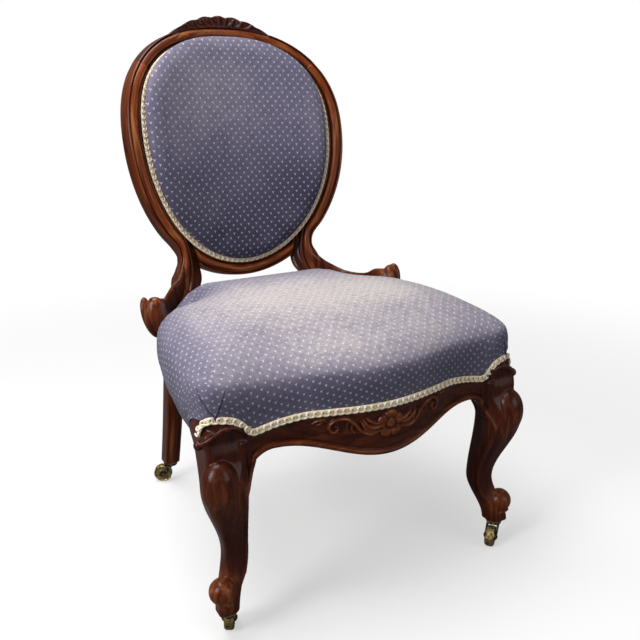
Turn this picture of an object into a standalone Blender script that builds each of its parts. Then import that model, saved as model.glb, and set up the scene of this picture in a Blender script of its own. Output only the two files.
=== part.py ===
# Victorian nursing chair: moulded oval back, sprung serpentine seat, cabriole legs and castors.
# Units are metres. +Z is up, the sitter faces -Y, and +X is on the right of someone facing the chair.

import bpy
import bmesh
from math import cos, pi, radians, sin, tan
from mathutils import Matrix, Vector
from mathutils.geometry import interpolate_bezier
from numpy import interp

# Clearance between pieces that touch
GAP = 0.0003

# Seat plan, measured over the cover
SEAT_HALF_FRONT = 0.284
SEAT_HALF_WAIST = 0.260
SEAT_HALF_HIP = 0.214
SEAT_FRONT_Y = -0.285
SEAT_CORNER_Y = -0.247
SEAT_CORNER_PULL = 0.012
SEAT_WAIST_Y = 0.030
SEAT_WAIST_PULL_X = 0.012
SEAT_WAIST_PULL_Y = 0.060
SEAT_HIP_Y = 0.116
SEAT_HIP_PULL_X = 0.012
SEAT_HIP_PULL_Y = 0.025
SEAT_REAR_Y = 0.1977
SEAT_REAR_HALF = 0.152
SEAT_REAR_PULL = 0.030

# Seat heights: the rails' underside above the floor, and rises above it
RAIL_BOTTOM_Z = 0.298
RAIL_HEIGHT = 0.054
GIMP_CENTRE_RISE = 0.036
GIMP_HOLLOW_RISE = 0.043
GIMP_HOLLOW_X = 0.140
LEG_SHOULDER_RISE = 0.033
SEAT_EDGE_RISE = 0.116
SEAT_CROWN = 0.028
SEAT_REAR_LIFT = 0.016
SEAT_CORNER_FALL = 0.032
SEAT_FALL_START_X = 0.095
SEAT_FALL_RUN_X = 0.075
SEAT_FALL_START_Y = -0.030
SEAT_FALL_RUN_Y = 0.110
RAIL_TOP_Z = RAIL_BOTTOM_Z + RAIL_HEIGHT
SEAT_EDGE_Z = RAIL_BOTTOM_Z + SEAT_EDGE_RISE
LEG_SHOULDER_Z = RAIL_BOTTOM_Z + LEG_SHOULDER_RISE

# Upholstery of the seat
COVER_THICKNESS = 0.0028
COVER_TUCK = 0.004
COVER_ROLL = 0.030
COVER_ROLL_RISE = 0.010
COVER_STEP = 0.004
COVER_EDGE_BAND = 0.13
SIDE_TUCK = 0.016
SIDE_TUCK_SHARE = 0.45
SIDE_TUCK_RUN = 0.030
HESSIAN_THICKNESS = 0.0016
HESSIAN_LAP = 0.014
SPRING_DOME = 0.033
WEB_WIDTH = 0.050
WEB_THICKNESS = 0.0022
WEB_PITCH_X = 0.090
WEB_PITCH_Y = 0.088
WEB_CENTRE_Y = -0.030
WEB_LAP = 0.020
SPRING_RADIUS = 0.034
SPRING_WAIST = 0.021
SPRING_WIRE = 0.0034
SPRING_CURLS = 4.5

# Rails
FRONT_RAIL_THICKNESS = 0.034
FRONT_RAIL_APRON = 0.018
FRONT_RAIL_DROP = 0.040
FRONT_RAIL_END_DROP = 0.005
FRONT_RAIL_BEAD = 0.004
FRONT_RAIL_FILLET = 0.006
SIDE_RAIL_THICKNESS = 0.026
SIDE_RAIL_TENON = 0.020
SIDE_RAIL_SETBACK = 0.008
SIDE_RAIL_EASE = 0.0012
SIDE_RAIL_BEVEL = SIDE_TUCK + 0.0030
SIDE_RAIL_BEVEL_HEIGHT = 0.050
REAR_RAIL_THICKNESS = 0.028
BLOCK_REACH = 0.048
BLOCK_HEIGHT = 0.036
BLOCK_DROP = 0.004
BLOCK_TOE = 0.010

# Front legs: widths, and how far each section's centre lies sideways and forward of the square top's centre
LEG_TOP_SIZE = 0.070
LEG_NECK_WIDTH = 0.066
LEG_NECK_FORWARD = 0.008
LEG_KNEE_Z = 0.246
LEG_KNEE_WIDTH = 0.063
LEG_KNEE_OUT = 0.008
LEG_KNEE_FORWARD = 0.0285
LEG_ANKLE_Z = 0.130
LEG_ANKLE_WIDTH = 0.0365
LEG_ANKLE_OUT = -0.0105
LEG_ANKLE_FORWARD = 0.0105
LEG_FOOT_WIDTH = 0.0350
LEG_FOOT_OUT = 0.0115
LEG_FOOT_FORWARD = 0.0330
LEG_ARRIS = 0.006
LEG_SIDE_ROUNDING = 0.44
LEG_FACE_ROUNDING = 0.22
POST_ROUNDING = 0.72
TOE_BALL_RADIUS = 0.0205
TOE_BALL_OUT = 0.0190
TOE_BALL_FORWARD = 0.0350
TOE_BALL_RISE = 0.035

# Oval back, seen from the front
OVAL_HALF_WIDTH = 0.217
OVAL_CENTRE_Z = 0.700
OVAL_RISE = 0.198
OVAL_DROP = 0.277
OVAL_TOP_POWER = 2.4
FRAME_WIDTH = 0.039
FRAME_DEPTH = 0.028
CREST_HALF_ANGLE = radians(52)
CREST_CARVING_HEIGHT = 0.022
CREST_CARVING_HALF_ANGLE = radians(23)
WAIST_ANGLE = radians(138)
LOWER_RAIL_ANGLE = radians(153.5)

# Rake and hollow of the back, whose front face is placed at the foot of the oval
BACK_Y = 0.2465
BACK_RAKE = radians(11.7)
BACK_HOLLOW_DEPTH = 0.0612

# Rear legs below the waist
STILE_WIDTH = 0.055
STILE_NECK_HOLLOW = 0.006
REAR_LEG_HALF_OUTER = 0.186
REAR_LEG_SIZE = 0.036
REAR_FOOT_HALF = 0.183
REAR_FOOT_Y = 0.252
REAR_FOOT_SIZE = 0.031

# Hip scrolls beside the seat
HIP_THICKNESS = 0.033
HIP_HEIGHT = 0.086
HIP_RISE = 0.025
HIP_SWEEP = 0.012
HIP_END_Y = 0.072
HIP_END_ROUND = 0.006
HIP_SEAT_MARGIN = 0.006
HIP_TOP_Z = SEAT_EDGE_Z + HIP_RISE
HIP_BOTTOM_Z = HIP_TOP_Z - HIP_HEIGHT

# Upholstery of the back
PAD_BORDER = 0.014
PAD_DOME = 0.040
PAD_SEAT_DEPTH = 0.006
PAD_BASE_DEPTH = 0.018

# Gimp braid
GIMP_WIDTH = 0.011
GIMP_THICKNESS = 0.0028

# Castors
WHEEL_RADIUS = 0.0180
WHEEL_WIDTH = 0.0150
WHEEL_SIDE_PLAY = 0.0006
WHEEL_HEADROOM = 0.0018
AXLE_RADIUS = 0.0020
AXLE_HEAD = 0.0012
RUNNING_CLEARANCE = 0.0003
CASTOR_TRAIL = 0.0170
CASTOR_CHEEK = 0.0024
CASTOR_EYE_RADIUS = 0.0055
CASTOR_CROWN_LIP = 0.0025
CASTOR_CROWN_HEIGHT = 0.0050
CASTOR_STEM_RADIUS = 0.0040
CASTOR_PLATE_RADIUS = 0.0150
CASTOR_PLATE_THICKNESS = 0.0026
CROWN_BOTTOM = 2 * WHEEL_RADIUS + WHEEL_HEADROOM
CROWN_TOP = CROWN_BOTTOM + CASTOR_CROWN_HEIGHT
PLATE_BOTTOM = CROWN_TOP + GAP
PLATE_TOP = PLATE_BOTTOM + CASTOR_PLATE_THICKNESS
CASTOR_HEIGHT = PLATE_TOP + GAP


# Scene and materials

for old in list(bpy.data.objects):
    bpy.data.objects.remove(old, do_unlink=True)

chair = bpy.data.objects.new("chair", None)
bpy.context.collection.objects.link(chair)


def material(name, colour, roughness, metallic=0.0):
    made = bpy.data.materials.new(name)
    made.use_nodes = True
    shader = made.node_tree.nodes["Principled BSDF"]
    shader.inputs["Base Color"].default_value = (*colour, 1.0)
    shader.inputs["Roughness"].default_value = roughness
    shader.inputs["Metallic"].default_value = metallic
    return made


MAHOGANY = material("mahogany", (0.115, 0.030, 0.012), 0.30)
BEECH = material("beech", (0.48, 0.31, 0.17), 0.60)
FABRIC = material("dotted_fabric", (0.150, 0.140, 0.260), 0.90)
BRAID = material("gimp_braid", (0.66, 0.57, 0.38), 0.85)
HAIR = material("horsehair", (0.10, 0.07, 0.05), 0.95)
JUTE = material("jute", (0.42, 0.30, 0.16), 0.95)
STEEL = material("spring_steel", (0.42, 0.36, 0.31), 0.40, 1.0)
BRASS = material("brass", (0.72, 0.50, 0.20), 0.35, 1.0)
IRON = material("dark_iron", (0.06, 0.05, 0.045), 0.50, 1.0)


def finish(name, mesh_data, finish_material, parent=chair, smooth_angle=radians(35)):
    """Turn a bmesh into a named object with its faces pointing out."""
    bmesh.ops.recalc_face_normals(mesh_data, faces=mesh_data.faces)
    mesh = bpy.data.meshes.new(name)
    mesh_data.to_mesh(mesh)
    mesh_data.free()
    mesh.materials.append(finish_material)
    mesh.shade_smooth()
    mesh.set_sharp_from_angle(angle=smooth_angle)
    made = bpy.data.objects.new(name, mesh)
    bpy.context.collection.objects.link(made)
    made.parent = parent
    return made


def loft(rings, closed=False, turned_back=0):
    """Skin a list of rings of points. A ring of one point is a pole, and a closed loft joins its ends.

    The first turned_back rings run against the rest, so their faces are split along the other diagonal:
    surfaces that lie parallel to each other then stay parallel."""
    mesh_data = bmesh.new()
    made = [[mesh_data.verts.new(point) for point in ring] for ring in rings]
    pairs = list(zip(made, made[1:]))
    if closed:
        pairs.append((made[-1], made[0]))
    for k, (lower, upper) in enumerate(pairs):
        count = max(len(lower), len(upper))
        for i in range(count):
            j = (i + 1) % count
            a, b = lower[i % len(lower)], lower[j % len(lower)]
            c, d = upper[j % len(upper)], upper[i % len(upper)]
            halves = [(a, b, d), (b, c, d)] if k + 1 < turned_back else [(a, b, c), (a, c, d)]
            for corners in halves:
                if len(set(corners)) == 3:
                    mesh_data.faces.new(corners)
    if not closed:
        for ring in (made[0], made[-1]):
            if len(ring) > 1:
                mesh_data.faces.new(ring)
    return mesh_data


def there_and_back(back, there):
    """A thin or thick layer: in along one surface's rings and out along another's."""
    return loft(list(reversed(back)) + there, turned_back=len(back))


def mirrored(rings):
    return [[Vector((-p.x, p.y, p.z)) for p in ring] for ring in rings]


def both_sides(name, rings, finish_material):
    """One piece on the right and its mirror image on the left."""
    right = finish(name + "_right", loft(rings), finish_material)
    left = finish(name + "_left", loft(mirrored(rings)), finish_material)
    return left, right


def cut(target, cutter_name, mesh_data, operation="DIFFERENCE"):
    """Join or cut a piece with a hidden helper solid."""
    helper = finish(cutter_name, mesh_data, target.data.materials[0])
    helper.hide_render = True
    helper.display_type = "WIRE"
    modifier = target.modifiers.new(cutter_name, "BOOLEAN")
    modifier.operation = operation
    modifier.solver = "EXACT"
    modifier.object = helper


def box(low, high):
    mesh_data = bmesh.new()
    bmesh.ops.create_cube(mesh_data, size=1.0)
    for vert in mesh_data.verts:
        vert.co = Vector([low[k] if vert.co[k] < 0 else high[k] for k in range(3)])
    return mesh_data


def smooth_step(t):
    t = min(1.0, max(0.0, t))
    return t * t * (3 - 2 * t)


# Faces of the wood behind and below the cover
WOOD_INSET = COVER_TUCK + COVER_THICKNESS + GAP
LEG_OUTER_X = SEAT_HALF_FRONT - COVER_TUCK
LEG_OUTER_Y = SEAT_CORNER_Y + COVER_TUCK
LEG_INNER_X = LEG_OUTER_X - LEG_TOP_SIZE
LEG_INNER_Y = LEG_OUTER_Y + LEG_TOP_SIZE
LEG_CENTRE_X = LEG_OUTER_X - 0.5 * LEG_TOP_SIZE
LEG_CENTRE_Y = LEG_OUTER_Y + 0.5 * LEG_TOP_SIZE


# Seat outline: Bezier stretches for the right half, from the front centre to the rear centre

def half_outline():
    front_end = (LEG_INNER_X - COVER_STEP, SEAT_CORNER_Y)
    side_start = (SEAT_HALF_FRONT, LEG_INNER_Y + COVER_STEP)
    waist = (SEAT_HALF_WAIST, SEAT_WAIST_Y)
    hip = (SEAT_HALF_HIP, SEAT_HIP_Y)
    rear_end = (SEAT_REAR_HALF, SEAT_REAR_Y)
    stretches = [
        ((0, SEAT_FRONT_Y), (0.45 * front_end[0], SEAT_FRONT_Y),
         (0.60 * front_end[0], SEAT_CORNER_Y), front_end, 7),
        (front_end, (SEAT_HALF_FRONT - SEAT_CORNER_PULL, SEAT_CORNER_Y),
         (SEAT_HALF_FRONT, SEAT_CORNER_Y + SEAT_CORNER_PULL), side_start, 6),
        (side_start, (SEAT_HALF_FRONT, 0.5 * (side_start[1] + SEAT_WAIST_Y)),
         (SEAT_HALF_WAIST + SEAT_WAIST_PULL_X, SEAT_WAIST_Y - SEAT_WAIST_PULL_Y), waist, 4),
        (waist, (SEAT_HALF_WAIST - 0.5 * SEAT_WAIST_PULL_X, SEAT_WAIST_Y + 0.5 * SEAT_WAIST_PULL_Y),
         (SEAT_HALF_HIP + SEAT_HIP_PULL_X, SEAT_HIP_Y - SEAT_HIP_PULL_Y), hip, 3),
        (hip, (SEAT_HALF_HIP - 2 * SEAT_HIP_PULL_X, SEAT_HIP_Y + 2 * SEAT_HIP_PULL_Y),
         (SEAT_REAR_HALF + SEAT_REAR_PULL, SEAT_REAR_Y), rear_end, 5),
        (rear_end, (0.7 * SEAT_REAR_HALF, SEAT_REAR_Y),
         (0.3 * SEAT_REAR_HALF, SEAT_REAR_Y), (0, SEAT_REAR_Y), 2),
    ]
    points = []
    for start, handle_a, handle_b, end, steps in stretches:
        corners = [Vector((*p, 0)) for p in (start, handle_a, handle_b, end)]
        points += interpolate_bezier(*corners, steps + 1)[:-1]
    return points + [Vector((0, SEAT_REAR_Y, 0))]


HALF = half_outline()
LOOP = HALF + [Vector((-p.x, p.y, 0)) for p in HALF[-2:0:-1]]


def moved(i, distance):
    """A point of the outline moved towards the inside of the seat, square to the outline."""
    along = (LOOP[(i + 1) % len(LOOP)] - LOOP[i - 1]).normalized()
    return LOOP[i] + distance * Vector((-along.y, along.x, 0))


def inset(distance):
    """The whole outline moved inwards."""
    return [moved(i, distance) for i in range(len(LOOP))]


FRONT = [p for p in HALF if p.y < SEAT_CORNER_Y + 0.5 * LEG_TOP_SIZE]


def front_y(x):
    """Front of the cover at a distance from the centre line."""
    return float(interp(abs(x), [p.x for p in FRONT], [p.y for p in FRONT]))


def gimp_line(x):
    """Height of the lower edge of the cover along the front."""
    stations = [0, GIMP_HOLLOW_X, LEG_INNER_X - COVER_STEP]
    rises = [GIMP_CENTRE_RISE, GIMP_HOLLOW_RISE, LEG_SHOULDER_RISE]
    return RAIL_BOTTOM_Z + float(interp(abs(x), stations, rises))


def cover_edge_z(point):
    """Height of the lower edge of the cover anywhere round the seat."""
    if point.y < LEG_INNER_Y + 1.5 * COVER_STEP:
        return gimp_line(point.x)
    return RAIL_BOTTOM_Z


# Front rail: a serpentine board whose apron drops in the middle and carries a bead along its lower edge

def apron_bottom(x):
    wave = 0.5 + 0.5 * cos(pi * min(1.0, abs(x) / (0.80 * LEG_INNER_X)))
    return RAIL_BOTTOM_Z - FRONT_RAIL_END_DROP - (FRONT_RAIL_DROP - FRONT_RAIL_END_DROP) * wave


def front_rail_section(x):
    """Cross-section of the rail: distance behind its face, and height."""
    bottom = apron_bottom(x)
    shoulder = gimp_line(x) - GAP
    recess = COVER_THICKNESS + GAP
    bead = FRONT_RAIL_BEAD
    return [
        (bead, bottom), (-0.2 * bead, bottom + 0.8 * bead), (-0.2 * bead, bottom + 1.8 * bead),
        (0.8 * bead, bottom + 2.4 * bead), (0.8 * bead, bottom + 3.2 * bead),
        (0, shoulder - FRONT_RAIL_FILLET), (0, shoulder), (recess, shoulder), (recess, RAIL_TOP_Z),
        (FRONT_RAIL_THICKNESS, RAIL_TOP_Z), (FRONT_RAIL_THICKNESS, RAIL_BOTTOM_Z),
        (FRONT_RAIL_APRON, RAIL_BOTTOM_Z), (FRONT_RAIL_APRON, bottom),
    ]


rail_reach = LEG_INNER_X - GAP
rail_points = [i for i in range(1 - len(HALF), len(HALF))
               if LOOP[i].y < LEG_INNER_Y and abs(LOOP[i].x) < rail_reach]
front_rings = []
for i in rail_points:
    section = front_rail_section(LOOP[i].x)
    front_rings.append([moved(i, COVER_TUCK + back) + Vector((0, 0, z)) for back, z in section])
rail_face = front_y(rail_reach) + COVER_TUCK
rail_end = [Vector((rail_reach, rail_face + back, z)) for back, z in front_rail_section(rail_reach)]
front_rings = mirrored([rail_end]) + front_rings + [rail_end]
finish("front_rail", loft(front_rings), MAHOGANY)


def front_rail_y(x, back):
    """Place of a surface of the rail that lies a distance behind its face."""
    line = [moved(i, COVER_TUCK + back) for i in rail_points]
    return float(interp(x, [p.x for p in line], [p.y for p in line]))


# Side rails: beech boards that follow the cover from the front leg back to the rear upright

side_start_y = LEG_INNER_Y + GAP
side_turn_y = SEAT_REAR_Y - SIDE_RAIL_TENON
side_face = [p for p in inset(WOOD_INSET + SIDE_RAIL_EASE)[:len(HALF)]
             if LEG_CENTRE_Y < p.y < SEAT_REAR_Y - 0.5 * SIDE_RAIL_TENON]
SIDE_STEPS = 13
SIDE_STATIONS = [side_start_y + (side_turn_y - side_start_y) * i / SIDE_STEPS for i in range(SIDE_STEPS + 1)]
SIDE_OUTER = [float(interp(y, [p.y for p in side_face], [p.x for p in side_face])) for y in SIDE_STATIONS]
SIDE_STATIONS.append(SEAT_REAR_Y)
SIDE_OUTER.append(min(SIDE_OUTER[-1], REAR_LEG_HALF_OUTER - SIDE_RAIL_SETBACK))


def side_rail_inner(y):
    """Inner face of the side rail, along its straight stretches between stations."""
    return float(interp(y, SIDE_STATIONS, SIDE_OUTER)) - SIDE_RAIL_THICKNESS


side_rings = []
for y, outer in zip(SIDE_STATIONS, SIDE_OUTER):
    inner = outer - SIDE_RAIL_THICKNESS
    low = RAIL_BOTTOM_Z + GAP
    bevel = [(outer - SIDE_RAIL_BEVEL, low), (outer, low + SIDE_RAIL_BEVEL_HEIGHT)]
    corners = bevel + [(outer, RAIL_TOP_Z), (inner, RAIL_TOP_Z), (inner, low)]
    side_rings.append([Vector((x, y, z)) for x, z in corners])
both_sides("side_rail", side_rings, BEECH)


# Rear rail: a beech board between the rear ends of the side rails
rear_back = SEAT_REAR_Y - WOOD_INSET
rear_front = rear_back - REAR_RAIL_THICKNESS
rear_ends = [rear_front, side_turn_y, rear_back]
rear_plan = [(side_rail_inner(y) - 2 * GAP, y) for y in rear_ends]
rear_plan += [(-x, y) for x, y in reversed(rear_plan)]
rear_rings = [[Vector((x, y, z)) for x, y in rear_plan] for z in (RAIL_BOTTOM_Z + GAP, RAIL_TOP_Z)]
finish("rear_rail", loft(rear_rings), BEECH)


# Corner blocks: glued and screwed into the four inner corners of the seat frame
block_high = RAIL_TOP_Z - BLOCK_DROP
block_low = block_high - BLOCK_HEIGHT


def corner_block(name, plan):
    both_sides(name, [[Vector((x, y, z)) for x, y in plan] for z in (block_low, block_high)], BEECH)


block_x = LEG_INNER_X - 2 * GAP
block_y = LEG_INNER_Y + 2 * GAP
rail_back = max(front_rail_y(x, FRONT_RAIL_THICKNESS) for x in (block_x, block_x - BLOCK_REACH)) + GAP
corner_block("corner_block_front", [
    (block_x - BLOCK_REACH, rail_back), (block_x, rail_back), (block_x, block_y),
    (side_rail_inner(block_y) - GAP, block_y),
    (side_rail_inner(block_y + BLOCK_REACH) - GAP, block_y + BLOCK_REACH),
])
rear_face = rear_front - GAP
corner_block("corner_block_rear", [
    (side_rail_inner(rear_face) - 2 * GAP, rear_face),
    (side_rail_inner(rear_face) - BLOCK_REACH, rear_face),
    (side_rail_inner(rear_face - BLOCK_REACH) - BLOCK_TOE, rear_face - BLOCK_REACH),
    (side_rail_inner(rear_face - BLOCK_REACH) - 2 * GAP, rear_face - BLOCK_REACH),
    (min(side_rail_inner(rear_face - 0.5 * BLOCK_REACH),
         0.5 * (side_rail_inner(rear_face) + side_rail_inner(rear_face - BLOCK_REACH))) - 2 * GAP,
     rear_face - 0.5 * BLOCK_REACH),
])


# Front legs: square top behind the cover, a knee that swells forward, a slim ankle and a ball toe

def post_corner(point, middle, half):
    """Round the outer corner of the post generously, because the cover turns round it."""
    radius = POST_ROUNDING * 2 * half
    centre = middle + Vector((half - radius, radius - half, 0))
    if point.x < centre.x or point.y > centre.y:
        return point
    return centre + (point - centre).normalized() * radius


def rounded_square(out, forward, width, side_round, face_round, z):
    """Ring round a section of the leg: side_round is on the two side corners, face_round on the other two."""
    half = 0.5 * width
    ring = []
    for quarter, (sx, sy) in enumerate(((1, 1), (-1, 1), (-1, -1), (1, -1))):
        radius = face_round if sx == -sy else side_round
        cx = LEG_CENTRE_X + out + sx * (half - radius)
        cy = LEG_CENTRE_Y - forward + sy * (half - radius)
        for step in range(4):
            angle = 0.5 * pi * (quarter + step / 3)
            ring.append(Vector((cx + radius * cos(angle), cy + radius * sin(angle), z)))
    return ring


neck_z = LEG_KNEE_Z + 0.6 * (LEG_SHOULDER_Z - LEG_KNEE_Z)
LEG_SHAPE = [
    (LEG_SHOULDER_Z - GAP, 0.0, 0.0, LEG_TOP_SIZE), (neck_z, 0.0, LEG_NECK_FORWARD, LEG_NECK_WIDTH),
    (LEG_KNEE_Z, LEG_KNEE_OUT, LEG_KNEE_FORWARD, LEG_KNEE_WIDTH),
    (LEG_ANKLE_Z, LEG_ANKLE_OUT, LEG_ANKLE_FORWARD, LEG_ANKLE_WIDTH),
    (CASTOR_HEIGHT, LEG_FOOT_OUT, LEG_FOOT_FORWARD, LEG_FOOT_WIDTH),
]
LEG_STRETCH_STEPS = [1, 3, 5, 4]
leg_sections = []
for start, end, steps in zip(LEG_SHAPE, LEG_SHAPE[1:], LEG_STRETCH_STEPS):
    for k in range(steps):
        ease = smooth_step(k / steps)
        z = start[0] + (end[0] - start[0]) * k / steps
        leg_sections.append([z] + [a + (b - a) * ease for a, b in zip(start[1:], end[1:])])
leg_sections.append(LEG_SHAPE[-1])

leg_rings = []
for z, out, forward, width in leg_sections:
    rounded = smooth_step((LEG_SHOULDER_Z - z) / (LEG_SHOULDER_Z - LEG_KNEE_Z))
    side_round = LEG_ARRIS + (LEG_SIDE_ROUNDING * width - LEG_ARRIS) * rounded
    face_round = LEG_ARRIS + (LEG_FACE_ROUNDING * width - LEG_ARRIS) * rounded
    leg_rings.append(rounded_square(out, forward, width, side_round, face_round, z))
post_size = LEG_TOP_SIZE - COVER_THICKNESS - 5 * GAP
post_back = 0.5 * (LEG_TOP_SIZE - post_size)
for z in (LEG_SHOULDER_Z, RAIL_TOP_Z):
    post = rounded_square(-post_back, -post_back, post_size, LEG_ARRIS, LEG_ARRIS, z)
    corner = 0.5 * post_size
    middle = Vector((LEG_CENTRE_X - post_back, LEG_CENTRE_Y + post_back, z))
    leg_rings.insert(0, [post_corner(p, middle, corner) for p in post])

for side, rings in (("right", leg_rings), ("left", mirrored(leg_rings))):
    leg = finish("front_leg_" + side, loft(rings), MAHOGANY)
    ball = bmesh.new()
    sign = 1 if side == "right" else -1
    ball_x = sign * (LEG_CENTRE_X + TOE_BALL_OUT)
    ball_place = (ball_x, LEG_CENTRE_Y - TOE_BALL_FORWARD, CASTOR_HEIGHT + TOE_BALL_RISE)
    bmesh.ops.create_uvsphere(ball, u_segments=14, v_segments=9, radius=TOE_BALL_RADIUS,
                              matrix=Matrix.Translation(ball_place))
    cut(leg, "toe_ball_" + side, ball, "UNION")


# Oval back frame

def oval(angle, offset=0.0):
    """Point of the oval at an angle from its top, moved inwards by an offset, as x and z."""
    s, c = sin(angle), cos(angle)
    power = 2 / (OVAL_TOP_POWER if c > 0 else 2.0)
    height = OVAL_RISE if c > 0 else OVAL_DROP
    sx = abs(s) ** power * (1 if s >= 0 else -1)
    cz = abs(c) ** power * (1 if c >= 0 else -1)
    x = OVAL_HALF_WIDTH * sx
    z = height * cz
    exponent = 2 / power
    nx = abs(x / OVAL_HALF_WIDTH) ** (exponent - 1) / OVAL_HALF_WIDTH * (1 if s >= 0 else -1)
    nz = abs(z / height) ** (exponent - 1) / height * (1 if c >= 0 else -1)
    length = (nx * nx + nz * nz) ** 0.5
    return x - offset * nx / length, OVAL_CENTRE_Z + z - offset * nz / length


FOOT_HALF, STILE_Z = oval(LOWER_RAIL_ANGLE)
STILE_HALF_INNER = FOOT_HALF + GAP
STILE_HALF_OUTER = STILE_HALF_INNER + STILE_WIDTH


def back_y(x, z):
    """Front face of the back: raked, and hollowed across so that its sides come forward."""
    return BACK_Y + (z - STILE_Z) * tan(BACK_RAKE) - BACK_HOLLOW_DEPTH * (x / OVAL_HALF_WIDTH) ** 2


def back_depth_direction(x):
    return Vector((2 * BACK_HOLLOW_DEPTH * x / OVAL_HALF_WIDTH ** 2, 1.0, -tan(BACK_RAKE))).normalized()


# Cross-section of the moulding: share of the width, depth where moulded, and depth where plain
MOULDING = [
    (0.00, 0.90, 0.88), (0.00, 0.36, 0.14), (0.06, 0.18, 0.03), (0.14, 0.20, 0.0), (0.22, 0.04, 0.0),
    (0.38, 0.00, 0.0), (0.54, 0.05, 0.0), (0.65, 0.24, 0.0), (0.75, 0.13, 0.0), (0.87, 0.17, 0.0),
    (0.94, 0.30, 0.03), (1.00, 0.36, 0.14), (1.00, 0.90, 0.88), (0.93, 1.00, 1.0), (0.07, 1.00, 1.0),
]


def moulded_section(outer, inner, direction, depth, moulded=1.0, lift=None, outer_direction=None):
    """Ring across the frame from its outer to its inner edge; lift raises the outer back edge."""
    ring = []
    for u, v_moulded, v_plain in MOULDING:
        v = moulded * v_moulded + (1 - moulded) * v_plain
        point = outer.lerp(inner, u) + (outer_direction or direction).lerp(direction, u) * (v * depth)
        if lift is not None and u < 0.1 and v > 0.3:
            point += lift
        ring.append(point)
    return ring


def on_back(x, z):
    return Vector((x, back_y(x, z), z))


def oval_section(outer_angle, inner_angle, lift=None):
    outer = on_back(*oval(outer_angle))
    inner = on_back(*oval(inner_angle, FRAME_WIDTH))
    return moulded_section(outer, inner, back_depth_direction(inner.x), FRAME_DEPTH, 1.0, lift)


def crest_lift(angle):
    share = abs(angle) / CREST_CARVING_HALF_ANGLE
    return Vector((0, 0, CREST_CARVING_HEIGHT * max(0.0, 1 - share ** 2.2)))


JOINT_ANGLE = GAP / OVAL_HALF_WIDTH
crest_end = CREST_HALF_ANGLE - JOINT_ANGLE
CREST_STATIONS = 18
crest_angles = [crest_end * (2 * i / CREST_STATIONS - 1) for i in range(CREST_STATIONS + 1)]
finish("crest_rail", loft([oval_section(a, a, crest_lift(a)) for a in crest_angles]), MAHOGANY)

LOWER_STATIONS = 10
lower_angles = []
for i in range(LOWER_STATIONS + 1):
    share = 2 * i / LOWER_STATIONS - 1
    lower_angles.append((pi + share * (pi - LOWER_RAIL_ANGLE), pi + share * (pi - WAIST_ANGLE - JOINT_ANGLE)))
finish("lower_back_rail", loft([oval_section(*angles) for angles in lower_angles]), MAHOGANY)


# Rear uprights: each is one piece from the crest joint down the oval's side, through the waist to the foot

waist_inner = Vector(oval(WAIST_ANGLE, FRAME_WIDTH))
joint_foot = Vector((STILE_HALF_INNER, STILE_Z))
rear_leg_front = SEAT_REAR_Y + GAP
rear_foot_front = REAR_FOOT_Y - 0.5 * REAR_FOOT_SIZE
REAR_LEG_TOP_Z = HIP_BOTTOM_Z - HIP_SEAT_MARGIN


def stile_outer(z):
    """Outer edge of the upright below the waist, straight where the hip scroll joins it."""
    return float(interp(z, [REAR_LEG_TOP_Z, STILE_Z], [REAR_LEG_HALF_OUTER, STILE_HALF_OUTER]))


def leg_section(z, outer, inner, front, depth, moulded):
    backwards = Vector((0, 1, 0))
    return moulded_section(Vector((outer, front, z)), Vector((inner, front, z)), backwards, depth, moulded)


UPRIGHT_STATIONS = 11
upright_run = WAIST_ANGLE - CREST_HALF_ANGLE
upright_angles = [CREST_HALF_ANGLE + upright_run * i / UPRIGHT_STATIONS for i in range(UPRIGHT_STATIONS + 1)]
upright_rings = [oval_section(a, a) for a in upright_angles]

waist_mid = waist_inner.lerp(joint_foot, 0.5)
waist_outer = Vector(oval(WAIST_ANGLE))
neck_x = 0.5 * (waist_outer.x + STILE_HALF_OUTER) - STILE_NECK_HOLLOW
neck_outer = Vector((neck_x, 0.5 * (waist_outer.y + STILE_Z)))
direction = back_depth_direction(waist_inner.x)
for outer, inner in ((neck_outer, waist_mid), (Vector((STILE_HALF_OUTER, STILE_Z)), joint_foot)):
    upright_rings.append(moulded_section(on_back(*outer), on_back(*inner), direction, FRAME_DEPTH,
                                         outer_direction=back_depth_direction(0)))

stile_front = back_y(0.5 * (STILE_HALF_OUTER + STILE_HALF_INNER), STILE_Z)
STILE_STEPS = 5
for k in range(1, STILE_STEPS + 1):
    share = k / STILE_STEPS
    z = STILE_Z + (REAR_LEG_TOP_Z - STILE_Z) * share
    down = smooth_step(share)
    inner = STILE_HALF_INNER + (REAR_LEG_HALF_OUTER - REAR_LEG_SIZE - STILE_HALF_INNER) * down
    front = stile_front + (rear_leg_front - stile_front) * smooth_step(1.8 * share)
    depth = FRAME_DEPTH + (REAR_LEG_SIZE - FRAME_DEPTH) * down
    upright_rings.append(leg_section(z, stile_outer(z), inner, front, depth, 1 - down))
LEG_STEPS = 4
for k in range(1, LEG_STEPS + 1):
    share = k / LEG_STEPS
    z = REAR_LEG_TOP_Z + (CASTOR_HEIGHT - REAR_LEG_TOP_Z) * share
    size = REAR_LEG_SIZE + (REAR_FOOT_SIZE - REAR_LEG_SIZE) * share
    outer = REAR_LEG_HALF_OUTER + (REAR_FOOT_HALF + 0.5 * REAR_FOOT_SIZE - REAR_LEG_HALF_OUTER) * share
    front = rear_leg_front + (rear_foot_front - rear_leg_front) * share ** 1.6
    upright_rings.append(leg_section(z, outer, outer - size, front, size, 0.0))
both_sides("rear_upright", upright_rings, MAHOGANY)


# Hip scrolls: moulded wings that sweep from the uprights round the rear corners of the seat

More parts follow.
